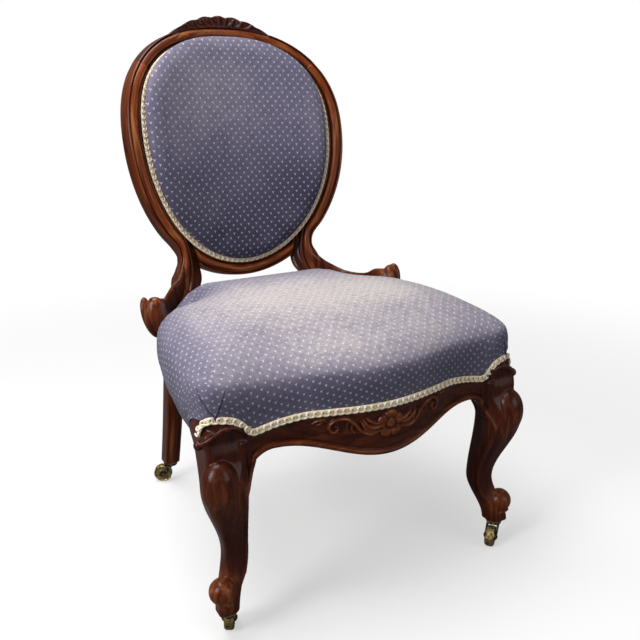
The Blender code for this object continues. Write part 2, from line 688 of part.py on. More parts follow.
hip_start_x = REAR_LEG_HALF_OUTER + COVER_STEP
hip_path = [p for p in inset(-GAP)[:len(HALF)] if p.x > hip_start_x and p.y > HIP_END_Y]
hip_path.reverse()
HIP_PROFILE = [
    (0.0, 0.0), (0.0, 0.90), (0.10, 0.99), (0.28, 1.0), (0.42, 0.95), (0.50, 0.93), (0.60, 0.985),
    (0.80, 0.98), (0.95, 0.90), (1.0, 0.76), (0.92, 0.45), (0.55, 0.06),
]


def hip_ring(place, normal, top):
    """Ring across the scroll: two beads along its top, and an outer side that tapers in below."""
    ring = []
    for n, v in HIP_PROFILE:
        z = HIP_BOTTOM_Z + (top - HIP_BOTTOM_Z) * v
        ring.append(place + normal * (n * HIP_THICKNESS) + Vector((0, 0, z)))
    return ring


hip_joint = []
for n, v in HIP_PROFILE:
    z = HIP_BOTTOM_Z + (HIP_TOP_Z + HIP_SWEEP - HIP_BOTTOM_Z) * v
    hip_joint.append(Vector((stile_outer(z) + GAP, rear_leg_front + 2 * GAP + n * HIP_THICKNESS, z)))
hip_rings = [hip_joint]
for i, place in enumerate(hip_path):
    before = hip_path[max(0, i - 1)]
    after = hip_path[min(len(hip_path) - 1, i + 1)]
    along = (after - before).normalized()
    normal = Vector((-along.y, along.x, 0))
    top = HIP_TOP_Z + HIP_SWEEP * (1 - i / (len(hip_path) - 1)) ** 2
    hip_rings.append(hip_ring(place, normal, top))
last = hip_rings[-1]
middle = sum(last, Vector()) / len(last)
hip_rings.append([p.lerp(middle, 0.2) + along * HIP_END_ROUND for p in last])
both_sides("hip_scroll", hip_rings, MAHOGANY)


# Seat cover: fabric drawn over the stuffing and rolled under at its lower edge

SEAT_MIDDLE = Vector((0, 0.5 * (SEAT_FRONT_Y + SEAT_REAR_Y), 0))
COVER_SIDE = [
    (0.0, COVER_TUCK), (COVER_EDGE_BAND, COVER_TUCK), (0.36, 0.3 * COVER_TUCK), (0.60, 0.0),
    (0.82, 0.13 * COVER_ROLL), (0.94, 0.4 * COVER_ROLL),
]
COVER_TOP = [0.82, 0.60, 0.34]


def seat_edge_z(p):
    """Height of the seat's upper edge, which rises towards the back and falls away at the rear corners."""
    lift = SEAT_REAR_LIFT * smooth_step((p.y - SEAT_FRONT_Y) / (SEAT_REAR_Y - SEAT_FRONT_Y))
    outwards = smooth_step((abs(p.x) - SEAT_FALL_START_X) / SEAT_FALL_RUN_X)
    backwards = smooth_step((p.y - SEAT_FALL_START_Y) / SEAT_FALL_RUN_Y)
    return SEAT_EDGE_Z + lift - SEAT_CORNER_FALL * outwards * backwards


def side_tuck(p, share):
    """How much further in the cover is drawn below the side rails, between the front leg and the hip."""
    along = smooth_step((p.y - LEG_INNER_Y) / SIDE_TUCK_RUN) * smooth_step((SEAT_HIP_Y - p.y) / SIDE_TUCK_RUN)
    return SIDE_TUCK * along * max(0.0, 1 - share / SIDE_TUCK_SHARE) ** 1.3


def seat_rings(shrink):
    """Rings of the seat's surface from its lower edge to its crown, moved inwards by shrink."""
    rings = []
    for share, tuck in COVER_SIDE:
        ring = []
        for i, q in enumerate(LOOP):
            p = moved(i, tuck + shrink + side_tuck(q, share))
            low = cover_edge_z(q)
            ring.append(Vector((p.x, p.y, low + share * (seat_edge_z(q) - shrink - low))))
        rings.append(ring)
    rim = inset(COVER_ROLL + shrink)
    rings.append([Vector((p.x, p.y, seat_edge_z(p) + COVER_ROLL_RISE - shrink)) for p in rim])
    for scale in COVER_TOP:
        ring = []
        for p in rim:
            place = SEAT_MIDDLE + (p - SEAT_MIDDLE) * scale
            rise = COVER_ROLL_RISE - shrink + SEAT_CROWN * (1 - scale ** 3)
            ring.append(place + Vector((0, 0, seat_edge_z(place) + rise)))
        rings.append(ring)
    crown_z = seat_edge_z(SEAT_MIDDLE) + COVER_ROLL_RISE - shrink + SEAT_CROWN
    rings.append([SEAT_MIDDLE + Vector((0, 0, crown_z))])
    return rings


cover = finish("seat_cover", there_and_back(seat_rings(COVER_THICKNESS), seat_rings(0.0)), FABRIC)
for sign in (-1, 1):
    slot_far = SIDE_OUTER[-2] + GAP
    slot_near = SIDE_OUTER[-1] - SIDE_RAIL_THICKNESS - GAP
    low = (min(sign * slot_near, sign * slot_far), side_turn_y, RAIL_BOTTOM_Z - COVER_ROLL)
    high = (max(sign * slot_near, sign * slot_far), SEAT_REAR_Y + COVER_ROLL, RAIL_TOP_Z + GAP)
    cut(cover, "cover_slot_" + ("right" if sign > 0 else "left"), box(low, high))


# Hessian and stuffing: the hessian is laid over the springs, and the hair fills the space up to the cover

HESSIAN_SCALES = [0.84, 0.68, 0.40]


def dome_rings(loop, lift):
    """Rings from the rails' top over the dome that the springs make."""
    rings = [[p + Vector((0, 0, RAIL_TOP_Z + GAP + lift)) for p in loop]]
    for scale in HESSIAN_SCALES:
        z = RAIL_TOP_Z + GAP + lift + SPRING_DOME * smooth_step((1 - scale) / 0.32)
        rings.append([SEAT_MIDDLE + (p - SEAT_MIDDLE) * scale + Vector((0, 0, z)) for p in loop])
    rings.append([SEAT_MIDDLE + Vector((0, 0, RAIL_TOP_Z + GAP + lift + SPRING_DOME))])
    return rings


hessian_loop = inset(WOOD_INSET + HESSIAN_LAP)
finish("seat_hessian",
       there_and_back(dome_rings(hessian_loop, 0.0), dome_rings(hessian_loop, HESSIAN_THICKNESS)), JUTE)

stuffing_low = [p + Vector((0, 0, RAIL_TOP_Z + 2 * GAP + HESSIAN_THICKNESS)) for p in inset(WOOD_INSET)]
stuffing_top = [stuffing_low] + seat_rings(COVER_THICKNESS + GAP)[3:]
finish("seat_stuffing", there_and_back(dome_rings(hessian_loop, HESSIAN_THICKNESS + GAP), stuffing_top), HAIR)


# Webbing: three jute straps each way, laced over and under each other and tacked below the rails

WEB_MIDDLE_Z = RAIL_BOTTOM_Z - WEB_THICKNESS - 1.5 * GAP
WEB_WAVE = 0.5 * (WEB_THICKNESS + GAP)
WEB_LEVEL = 0.54 * WEB_WIDTH


def strap(name, start, end, place, crossings, first_up, lengthwise):
    """A strap that is level over or under each crossing and sloped between them."""
    stations = []
    heights = []
    for k, crossing in enumerate(crossings):
        height = WEB_MIDDLE_Z + (WEB_WAVE if (k % 2 == 0) == first_up else -WEB_WAVE)
        stations += [crossing - WEB_LEVEL, crossing + WEB_LEVEL]
        heights += [height, height]
    corners = [(-0.5, -0.5), (0.5, -0.5), (0.5, 0.5), (-0.5, 0.5)]
    rings = []
    for run in [start] + [s for s in stations if start < s < end] + [end]:
        middle = float(interp(run, stations, heights))
        ring = []
        for a, b in corners:
            across = place + a * WEB_WIDTH
            z = middle + b * WEB_THICKNESS
            ring.append(Vector((across, run, z)) if lengthwise else Vector((run, across, z)))
        rings.append(ring)
    finish(name, loft(rings), JUTE)


WEB_X = [-WEB_PITCH_X, 0.0, WEB_PITCH_X]
WEB_Y = [WEB_CENTRE_Y + k * WEB_PITCH_Y for k in (-1, 0, 1)]
for i, (x, word) in enumerate(zip(WEB_X, ("left", "middle", "right"))):
    start = max(front_rail_y(x + k * WEB_WIDTH, FRONT_RAIL_APRON) for k in (-0.5, 0.0, 0.5)) + 2 * GAP
    strap("web_long_" + word, start, rear_front + WEB_LAP, x, WEB_Y, i % 2 == 0, True)
for j, (y, word) in enumerate(zip(WEB_Y, ("front", "middle", "rear"))):
    reach = side_rail_inner(y + 0.5 * WEB_WIDTH) + 0.3 * SIDE_RAIL_THICKNESS
    strap("web_cross_" + word, -reach, reach, y, WEB_X, j % 2 == 1, False)


# Springs: hourglass coils that stand on the webbing crossings and hold up the hessian

SPRING_POINTS = 9


def spring(name, x, y):
    bottom = WEB_MIDDLE_Z + WEB_WAVE + 0.5 * WEB_THICKNESS + GAP + 0.5 * SPRING_WIRE
    top = RAIL_TOP_Z + SPRING_DOME - 0.5 * SPRING_WIRE
    count = int(SPRING_CURLS * SPRING_POINTS)
    points = []
    for k in range(count + 1):
        t = k / count
        angle = 2 * pi * SPRING_CURLS * t
        radius = SPRING_WAIST + (SPRING_RADIUS - SPRING_WAIST) * abs(2 * t - 1) ** 1.6
        rise = 0.5 - 0.5 * cos(pi * t)
        points.append(Vector((x + radius * cos(angle), y + radius * sin(angle),
                              bottom + (top - bottom) * (0.55 * t + 0.45 * rise))))
    curve = bpy.data.curves.new(name, "CURVE")
    curve.dimensions = "3D"
    curve.bevel_depth = 0.5 * SPRING_WIRE
    curve.bevel_resolution = 1
    curve.use_fill_caps = True
    spline = curve.splines.new("POLY")
    spline.points.add(count)
    for made, point in zip(spline.points, points):
        made.co = (*point, 1.0)
    curve.materials.append(STEEL)
    coil = bpy.data.objects.new(name, curve)
    bpy.context.collection.objects.link(coil)
    coil.parent = chair
    far = SPRING_POINTS - 2
    gaps = [(points[a] - points[b]).length for a in range(count + 1) for b in range(a + far, count + 1)]
    print(name, "least gap to itself", round(min(gaps) - SPRING_WIRE, 5))


SPRING_PLACES = {
    "front_left": (-WEB_PITCH_X, WEB_Y[0]), "front_right": (WEB_PITCH_X, WEB_Y[0]), "middle": (0.0, WEB_Y[1]),
    "rear_left": (-WEB_PITCH_X, WEB_Y[2]), "rear_right": (WEB_PITCH_X, WEB_Y[2]),
}
for word, (x, y) in SPRING_PLACES.items():
    spring("spring_" + word, x, y)


# Upholstery of the back, inside the oval: cover, stuffing, hessian and outside cover

PAD_MIDDLE = (0.0, OVAL_CENTRE_Z - 0.1 * OVAL_RISE)
crest_right = [a for a in crest_angles if 0.5 * crest_end / CREST_STATIONS < a < crest_end]
right_stations = crest_right + upright_angles
left_stations = [2 * pi - a for a in reversed(right_stations)]
PAD_STATIONS = [0.0] + right_stations + [inner for _, inner in lower_angles[1:-1]] + left_stations


def pad_ring(scale, depth, narrow=0.0):
    """Ring of the oval pad, at a depth behind the front face of the frame."""
    ring = []
    for angle in PAD_STATIONS:
        x, z = oval(angle, FRAME_WIDTH + GAP + narrow)
        x = PAD_MIDDLE[0] + (x - PAD_MIDDLE[0]) * scale
        z = PAD_MIDDLE[1] + (z - PAD_MIDDLE[1]) * scale
        frame_x = scale * oval(angle, FRAME_WIDTH)[0]
        ring.append(on_back(x, z) + back_depth_direction(frame_x) * depth)
    return ring


def pad_pole(depth):
    return [on_back(*PAD_MIDDLE) + back_depth_direction(0) * depth]


def pad_front(shift):
    """Rings of the padded front from its border to its crown."""
    rings = [pad_ring(1.0, PAD_SEAT_DEPTH + shift), pad_ring(1.0, PAD_SEAT_DEPTH + shift, PAD_BORDER)]
    for scale in (0.92, 0.78, 0.55, 0.28):
        swell = PAD_DOME * (1 - scale ** 2.6) ** 0.75
        rings.append(pad_ring(scale, PAD_SEAT_DEPTH + shift - swell, PAD_BORDER))
    return rings + [pad_pole(PAD_SEAT_DEPTH + shift - PAD_DOME)]


def pad_flat(depth):
    return [pad_ring(1.0, depth), pad_ring(0.55, depth), pad_pole(depth)]


finish("back_cover", there_and_back(pad_front(COVER_THICKNESS), pad_front(0.0)), FABRIC)
finish("back_stuffing", there_and_back(pad_flat(PAD_BASE_DEPTH), pad_front(COVER_THICKNESS + GAP)), HAIR)
hessian_depth = PAD_BASE_DEPTH + GAP
hessian_back = pad_flat(hessian_depth + HESSIAN_THICKNESS)
finish("back_hessian", there_and_back(hessian_back, pad_flat(hessian_depth)), JUTE)
outside_depth = FRAME_DEPTH - COVER_THICKNESS
finish("back_outside_cover", there_and_back(pad_flat(FRAME_DEPTH), pad_flat(outside_depth)), FABRIC)


# Gimp: braid that hides the tacked edges of the covers

def pad_gimp(name, depth):
    """Braid round the oval, between a depth and one thickness behind it."""
    half = 0.5 * GIMP_WIDTH
    middle = 0.5 * PAD_BORDER
    back = depth + GIMP_THICKNESS
    edge = depth + 0.3 * GIMP_THICKNESS
    corners = [(middle - half, back), (middle - half, edge), (middle, depth)]
    corners += [(middle + half, edge), (middle + half, back)]
    loops = [pad_ring(1.0, d, narrow) for narrow, d in corners]
    finish(name, loft([list(section) for section in zip(*loops)], closed=True), BRAID)


pad_gimp("back_gimp", PAD_SEAT_DEPTH - GAP - GIMP_THICKNESS)
pad_gimp("outside_back_gimp", FRAME_DEPTH + GAP)

gimp_inner = inset(COVER_TUCK - GAP)
gimp_outer = inset(COVER_TUCK - GAP - GIMP_THICKNESS)
gimp_rings = []
front_count = len([p for p in HALF if p.y < LEG_INNER_Y])
for i in range(-front_count + 1, front_count):
    low = cover_edge_z(LOOP[i])
    high = low + COVER_EDGE_BAND * (SEAT_EDGE_Z - low)
    bevel = 0.5 * GIMP_THICKNESS
    inner, outer = gimp_inner[i], gimp_outer[i]
    corners = [(inner, low), (outer, low + bevel), (outer, high - bevel), (inner, high)]
    gimp_rings.append([place + Vector((0, 0, z)) for place, z in corners])
finish("seat_gimp", loft(gimp_rings), BRAID)


# Castors: a plate with a fixed stem, a fork that swivels on it, and a wheel on an axle pin

ROUND = 16
AXLE_SIDES = 12
CHEEK_INSIDE = 0.5 * WHEEL_WIDTH + WHEEL_SIDE_PLAY
CHEEK_OUTSIDE = CHEEK_INSIDE + CASTOR_CHEEK
CROWN_RADIUS = CHEEK_OUTSIDE + CASTOR_CROWN_LIP
STEM_HOLE = (CASTOR_STEM_RADIUS + RUNNING_CLEARANCE) / cos(pi / ROUND)
AXLE_HOLE = (AXLE_RADIUS + GAP) / cos(pi / AXLE_SIDES)
WHEEL_BORE = (AXLE_RADIUS + RUNNING_CLEARANCE) / cos(pi / AXLE_SIDES)
WHEEL_TREAD = WHEEL_RADIUS / cos(pi / ROUND)
AXLE_PLACE = Vector((0, CASTOR_TRAIL, WHEEL_RADIUS))


def turned(profile, sides, crosswise=False):
    """Rings of a turned piece from radius and height pairs, about the Z axis, or about X where crosswise."""
    rings = []
    for radius, height in profile:
        count = sides if radius > 0 else 1
        angles = [2 * pi * (k + 0.5) / sides for k in range(count)]
        ring = [Vector((radius * cos(a), radius * sin(a), height)) for a in angles]
        rings.append([Vector((p.z, p.x, p.y)) for p in ring] if crosswise else ring)
    return rings


def fork_cheek(side):
    """One cheek of the fork: a tapered plate from the crown down to a round eye at the axle."""
    shoulder = CROWN_TOP - 0.2 * CASTOR_CROWN_HEIGHT
    outline = [(-0.6 * CROWN_RADIUS, shoulder), (0.6 * CROWN_RADIUS, shoulder)]
    for k in range(7):
        angle = radians(25) - pi * k / 6
        eye = Vector((CASTOR_EYE_RADIUS * cos(angle), CASTOR_EYE_RADIUS * sin(angle)))
        outline.append((CASTOR_TRAIL + eye.x, WHEEL_RADIUS + eye.y))
    return loft([[Vector((side * x, y, z)) for y, z in outline] for x in (CHEEK_INSIDE, CHEEK_OUTSIDE)])


def castor_meshes():
    """Meshes of the four pieces, made once about the pivot's axis."""
    plate = finish("castor_plate", loft(turned([
        (0, PLATE_TOP), (CASTOR_PLATE_RADIUS, PLATE_TOP), (CASTOR_PLATE_RADIUS, PLATE_BOTTOM),
        (CASTOR_STEM_RADIUS, PLATE_BOTTOM), (CASTOR_STEM_RADIUS, CROWN_BOTTOM),
        (0, CROWN_BOTTOM)], ROUND)), IRON)
    fork = finish("castor_fork", loft(turned([
        (STEM_HOLE, CROWN_TOP), (CROWN_RADIUS, CROWN_TOP), (CROWN_RADIUS, CROWN_BOTTOM),
        (STEM_HOLE, CROWN_BOTTOM)], ROUND), closed=True), IRON)
    for side, word in ((-1, "left"), (1, "right")):
        cut(fork, "fork_cheek_" + word, fork_cheek(side), "UNION")
    far = 2 * CHEEK_OUTSIDE
    bore = loft(turned([(0, -far), (AXLE_HOLE, -far), (AXLE_HOLE, far), (0, far)], AXLE_SIDES, True))
    bmesh.ops.translate(bore, vec=AXLE_PLACE, verts=bore.verts)
    cut(fork, "fork_eyes", bore)
    half = 0.5 * WHEEL_WIDTH
    rim = [(0.42, 1.0), (0.50, 0.72), (0.78, 0.72), (0.90, 0.95), (1.0, 0.62)]
    side_profile = [(WHEEL_BORE, half)] + [(r * WHEEL_TREAD, h * half) for r, h in rim]
    wheel = finish("castor_wheel", loft(turned(
        [(r, -h) for r, h in side_profile] + side_profile[::-1], ROUND, True), closed=True), BRASS)
    head = CHEEK_OUTSIDE + GAP
    rivet = 1.6 * AXLE_RADIUS
    pin = [(0, head + AXLE_HEAD), (rivet, head + AXLE_HEAD), (rivet, head), (AXLE_RADIUS, head)]
    axle = finish("castor_axle", loft(turned([(r, -h) for r, h in pin] + pin[::-1], AXLE_SIDES, True)), IRON)
    bpy.context.view_layer.update()
    graph = bpy.context.evaluated_depsgraph_get()
    made = {}
    for piece in (plate, fork, wheel, axle):
        made[piece.name] = bpy.data.meshes.new_from_object(piece.evaluated_get(graph))
    for piece in (plate, fork, wheel, axle):
        for modifier in piece.modifiers:
            bpy.data.objects.remove(modifier.object)
        bpy.data.objects.remove(piece)
    return made


CASTOR_MESHES = castor_meshes()


def castor(name, x, y, heading):
    """A castor under a leg, its wheel trailing along a heading measured from +Y towards -X."""
    pivot = bpy.data.objects.new("castor_pivot_" + name, None)
    bpy.context.collection.objects.link(pivot)
    pivot.parent = chair
    pivot.location = (x, y, 0)
    pivot.rotation_euler = (0, 0, heading)
    for kind, mesh in CASTOR_MESHES.items():
        piece = bpy.data.objects.new(kind + "_" + name, mesh)
        bpy.context.collection.objects.link(piece)
        piece.parent = pivot
        if kind in {"castor_wheel", "castor_axle"}:
            piece.location = AXLE_PLACE
    return pivot


front_foot = (LEG_CENTRE_X + LEG_FOOT_OUT, LEG_CENTRE_Y - LEG_FOOT_FORWARD)
CASTOR_PLACES = {
    "front_left": (-front_foot[0], front_foot[1], radians(-28)),
    "front_right": (front_foot[0], front_foot[1], radians(125)),
    "rear_left": (-REAR_FOOT_HALF, REAR_FOOT_Y, radians(62)),
    "rear_right": (REAR_FOOT_HALF, REAR_FOOT_Y, radians(-50)),
}
pivots = {name: castor(name, *place) for name, place in CASTOR_PLACES.items()}


# Origin: on the floor, under the middle of the chair's box

bpy.context.view_layer.update()
graph = bpy.context.evaluated_depsgraph_get()
depths = []
for piece in bpy.data.objects:
    if piece.type in {"MESH", "CURVE"} and not piece.hide_render:
        solid = piece.evaluated_get(graph)
        depths += [(piece.matrix_world @ vert.co).y for vert in solid.to_mesh().vertices]
        solid.to_mesh_clear()
chair.location.y = -0.5 * (min(depths) + max(depths))
bpy.context.view_layer.update()

print("shift to the middle", round(chair.location.y, 5))
for name, pivot in pivots.items():
    place = pivot.matrix_world.translation
    axle = pivot.matrix_world @ AXLE_PLACE
    along = pivot.matrix_world.to_3x3() @ Vector((1, 0, 0))
    print(name, "pivot", [round(v, 5) for v in place], "axle", [round(v, 5) for v in axle],
          "along", [round(v, 5) for v in along])
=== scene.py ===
# Victorian nursing chair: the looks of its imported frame.
# Units are metres. +Z is up, the sitter faces -Y, and +X is on the right of someone facing the chair.

from math import atan2, cos, pi, radians, sin, tan

import bmesh
import bpy
import numpy as np
from mathutils import Matrix, Vector
from mathutils.bvhtree import BVHTree


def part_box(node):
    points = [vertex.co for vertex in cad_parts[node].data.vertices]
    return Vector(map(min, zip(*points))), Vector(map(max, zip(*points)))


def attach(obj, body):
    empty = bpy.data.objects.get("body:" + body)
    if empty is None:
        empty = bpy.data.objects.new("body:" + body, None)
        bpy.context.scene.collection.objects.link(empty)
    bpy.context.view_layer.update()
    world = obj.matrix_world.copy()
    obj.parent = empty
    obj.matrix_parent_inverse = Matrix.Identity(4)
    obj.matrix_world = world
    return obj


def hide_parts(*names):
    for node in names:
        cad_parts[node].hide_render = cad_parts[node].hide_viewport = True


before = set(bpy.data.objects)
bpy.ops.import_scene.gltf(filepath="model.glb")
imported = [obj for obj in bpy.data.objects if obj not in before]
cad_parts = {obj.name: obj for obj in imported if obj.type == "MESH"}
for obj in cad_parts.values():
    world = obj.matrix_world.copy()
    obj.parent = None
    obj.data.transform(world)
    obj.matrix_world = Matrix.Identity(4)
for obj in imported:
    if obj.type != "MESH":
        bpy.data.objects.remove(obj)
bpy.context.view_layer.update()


# Seat frame: side rails, rear rail and corner blocks of sawn beech, glued and screwed together.
# The cover hides them from above, so they show only from below, between the straps.

def colour(code):
    """An sRGB hex colour as the linear values that a shader takes."""
    values = [int(code[i:i + 2], 16) / 255 for i in (1, 3, 5)]
    return [v / 12.92 if v <= 0.04045 else ((v + 0.055) / 1.055) ** 2.4 for v in values] + [1.0]


def connect(tree, node, inputs):
    """Link each input that is given as a socket, and set each other one; inputs go by name or in order."""
    for key, value in inputs.items() if isinstance(inputs, dict) else enumerate(inputs):
        if isinstance(value, bpy.types.NodeSocket):
            tree.links.new(value, node.inputs[key])
        else:
            node.inputs[key].default_value = value


def add(tree, kind, inputs=None, stops=None, give=None, **settings):
    """Add a node with settings, inputs and colour stops; give its named output, or its first one in use."""
    node = tree.nodes.new("ShaderNode" + kind)
    for key, value in settings.items():
        setattr(node, key, value)
    connect(tree, node, inputs or {})
    if stops:
        ramp = node.color_ramp.elements
        while len(ramp) < len(stops):
            ramp.new(1.0)
        for element, (position, code) in zip(ramp, stops):
            element.position = position
            element.color = colour(code)
    return node.outputs[give] if give else [output for output in node.outputs if output.enabled][0]


def start_material(name):
    """A new material with its node tree and its shader."""
    made = bpy.data.materials.new(name)
    made.use_nodes = True
    tree = made.node_tree
    return made, tree, tree.nodes["Principled BSDF"]


def sawn_beech(name, along):
    """Beech from the saw: pinkish brown, short dark flecks along the grain, dull as it was never polished."""
    fleck_length, fleck_width = 0.016, 0.0018
    made, tree, shader = start_material(name)
    scale = [1 / (fleck_length if axis == along else fleck_width) for axis in "XYZ"]
    place = add(tree, "TexCoord", give="Object")
    drawn_out = add(tree, "Mapping", {"Vector": place, "Scale": scale})
    fleck = add(tree, "TexNoise", {"Vector": drawn_out, "Scale": 1.0, "Detail": 5.0}, give="Fac")
    tint = add(tree, "ValToRGB", {"Fac": fleck}, [(0.30, "#6f4d2f"), (0.52, "#a27c52"), (0.75, "#bd9669")])
    bump = add(tree, "Bump", {"Height": fleck, "Strength": 0.35, "Distance": 0.0006})
    connect(tree, shader, {"Base Color": tint, "Normal": bump, "Roughness": 0.72})
    return made


beech_along_y = sawn_beech("sawn_beech_lengthwise", "Y")
beech_along_x = sawn_beech("sawn_beech_crosswise", "X")
for name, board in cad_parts.items():
    if name.startswith(("side_rail", "corner_block")):
        board.material_slots[0].material = beech_along_y
    if name == "rear_rail":
        board.material_slots[0].material = beech_along_x


# Front rail: one serpentine board of mahogany between the front legs, its lower edge cut to a wave
# with a bead along it, and its face carved by hand with a rose, leaves and scrolling stems.

SEAT_HALF_FRONT = 0.284
SEAT_HALF_WAIST = 0.260
SEAT_HALF_HIP = 0.214
SEAT_FRONT_Y = -0.285
SEAT_CORNER_Y = -0.247
SEAT_WAIST_Y = 0.030
SEAT_HIP_Y = 0.116
SEAT_REAR_Y = 0.1977
SEAT_REAR_HALF = 0.152
DATUM_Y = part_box("seat_cover")[1].y - SEAT_REAR_Y
COVER_TUCK = 0.004
COVER_THICKNESS = 0.0028
LEG_TOP_SIZE = 0.070
LEG_OUTER_X = SEAT_HALF_FRONT - COVER_TUCK
LEG_OUTER_Y = SEAT_CORNER_Y + COVER_TUCK
LEG_INNER_X = LEG_OUTER_X - LEG_TOP_SIZE
LEG_INNER_Y = LEG_OUTER_Y + LEG_TOP_SIZE
RAIL_BOTTOM_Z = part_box("seat_cover")[0].z
RAIL_TOP_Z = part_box("side_rail_left")[1].z


def bezier(a, b, c, d, steps):
    t = np.linspace(0, 1, steps, endpoint=False)[:, None]
    a, b, c, d = (np.array(p, float) for p in (a, b, c, d))
    return (1 - t) ** 3 * a + 3 * (1 - t) ** 2 * t * b + 3 * (1 - t) * t ** 2 * c + t ** 3 * d


def distance_along(points):
    """Distance of each point from the first along their line; for rings, the mean over their points."""
    steps = np.linalg.norm(np.diff(points, axis=0), axis=-1)
    return np.concatenate([[0], np.cumsum(steps if steps.ndim == 1 else steps.mean(1))])


def interpolate(at, run, points):
    """Points at some distances along a line whose own points lie at the distances in run."""
    return np.stack([np.interp(at, run, points[:, k]) for k in range(points.shape[1])], 1)


def even(points, count):
    """Points spaced evenly along an open line."""
    run = distance_along(points)
    return interpolate(np.linspace(0, run[-1], count), run, points)


def seat_plan(half_count):
    """Closed outline of the seat over its cover, from the front centre round by the right."""
    corner_x, corner_round = LEG_INNER_X - 0.004, 0.012
    corner_start = (corner_x, SEAT_CORNER_Y)
    side_start = (SEAT_HALF_FRONT, LEG_INNER_Y + 0.004)
    waist = (SEAT_HALF_WAIST, SEAT_WAIST_Y)
    hip = (SEAT_HALF_HIP, SEAT_HIP_Y)
    rear = (SEAT_REAR_HALF, SEAT_REAR_Y)
    stretches = [
        ((0, SEAT_FRONT_Y), (0.45 * corner_x, SEAT_FRONT_Y), (0.60 * corner_x, SEAT_CORNER_Y), corner_start),
        (corner_start, (SEAT_HALF_FRONT - corner_round, SEAT_CORNER_Y),
         (SEAT_HALF_FRONT, SEAT_CORNER_Y + corner_round), side_start),
        (side_start, (SEAT_HALF_FRONT, 0.5 * (side_start[1] + SEAT_WAIST_Y)),
         (SEAT_HALF_WAIST + 0.012, SEAT_WAIST_Y - 0.060), waist),
        (waist, (SEAT_HALF_WAIST - 0.006, SEAT_WAIST_Y + 0.030),
         (SEAT_HALF_HIP + 0.012, SEAT_HIP_Y - 0.025), hip),
        (hip, (SEAT_HALF_HIP - 0.024, SEAT_HIP_Y + 0.050), (SEAT_REAR_HALF + 0.030, SEAT_REAR_Y), rear),
        (rear, (0.7 * SEAT_REAR_HALF, SEAT_REAR_Y), (0.3 * SEAT_REAR_HALF, SEAT_REAR_Y), (0, SEAT_REAR_Y)),
    ]
    half = np.concatenate([bezier(*stretch, 60) for stretch in stretches] + [[(0, SEAT_REAR_Y)]])
    half = even(half, half_count)
    return np.concatenate([half, half[-2:0:-1] * (-1, 1)])


def inward(plan):
    """Unit normals of a closed outline, pointing to its inside."""
    along = np.roll(plan, -1, 0) - np.roll(plan, 1, 0)
    along /= np.linalg.norm(along, axis=1)[:, None]
    return np.stack([-along[:, 1], along[:, 0]], 1)


PLAN = seat_plan(181)
PLAN_IN = inward(PLAN)
GIMP_LINE_X = [0.0, 0.08, 0.13, 0.165, 0.195, 0.2115, 0.218, 0.226, 0.236, 0.248, 0.262]
GIMP_LINE_Z = [0.3325, 0.3335, 0.3325, 0.327, 0.3205, 0.3165, 0.326, 0.3365, 0.3425, 0.3445, 0.3455]


def gimp_line(x):
    """Height of the cover's lower edge along the front: a notch beside each leg, and an arch over it."""
    return np.interp(np.abs(x), GIMP_LINE_X, GIMP_LINE_Z)


def curve(points, steps=10):
    """A smooth line through a few points."""
    points = np.array(points, float)
    padded = np.concatenate([[2 * points[0] - points[1]], points, [2 * points[-1] - points[-2]]])
    t = np.linspace(0, 1, steps, endpoint=False)[:, None]
    made = []
    for a, b, c, d in zip(padded, padded[1:], padded[2:], padded[3:]):
        bend = (2 * a - 5 * b + 4 * c - d) * t ** 2
        made.append(0.5 * (2 * b + (c - a) * t + bend + (3 * b - a - 3 * c + d) * t ** 3))
    return np.concatenate(made + [points[-1:]])


def stroke(x, z, path, widths, height):
    """Relief of one carved stem or leaf lobe: a rounded ridge along a path, with half-widths along it."""
    line = curve(path)
    reach = np.interp(np.linspace(0, 1, len(line)), np.linspace(0, 1, len(widths)), widths)
    best = np.zeros_like(x)
    for (px, pz), r in zip(line, reach):
        far = ((x - px) ** 2 + (z - pz) ** 2) / (r * r)
        best = np.maximum(best, height * min(1.0, r / 0.003) * np.sqrt(np.clip(1 - far, 0, None)))
    return best


def carve(relief, x, z, strokes):
    """The relief with more strokes cut into it, each from its path, half-widths and height."""
    for path, widths, height in strokes:
        relief = np.maximum(relief, stroke(x, z, path, widths, height))
    return relief


def rose(x, z, radius):
    """Relief of an open rose: five cupped petals round a seeded boss."""
    r = np.hypot(x, z) / radius
    turn = np.arctan2(z, x)
    petal = np.abs(np.cos(2.5 * (turn - 0.5 * pi)))
    edge = 0.82 + 0.18 * petal ** 0.6
    cup = np.clip(1 - (r / edge) ** 6, 0, None) ** 0.5 * (0.0030 + 0.0030 * np.clip(r - 0.3, 0, 1))
    cup -= 0.0012 * np.clip(1 - petal * 3.0, 0, 1) * (r > 0.34) * (r < edge)
    boss = 0.0058 * np.sqrt(np.clip(1 - (r / 0.33) ** 2, 0, None))
    seeds = 0.0009 * np.cos(x * 2 * pi / 0.0036) * np.cos(z * 2 * pi / 0.0036) * (r < 0.28)
    ditch = 0.0016 * np.exp(-((r - 0.40) / 0.06) ** 2)
    return np.maximum(cup - ditch, boss + seeds)


ROSE_Z = 0.3070
ROSE_RADIUS = 0.0235


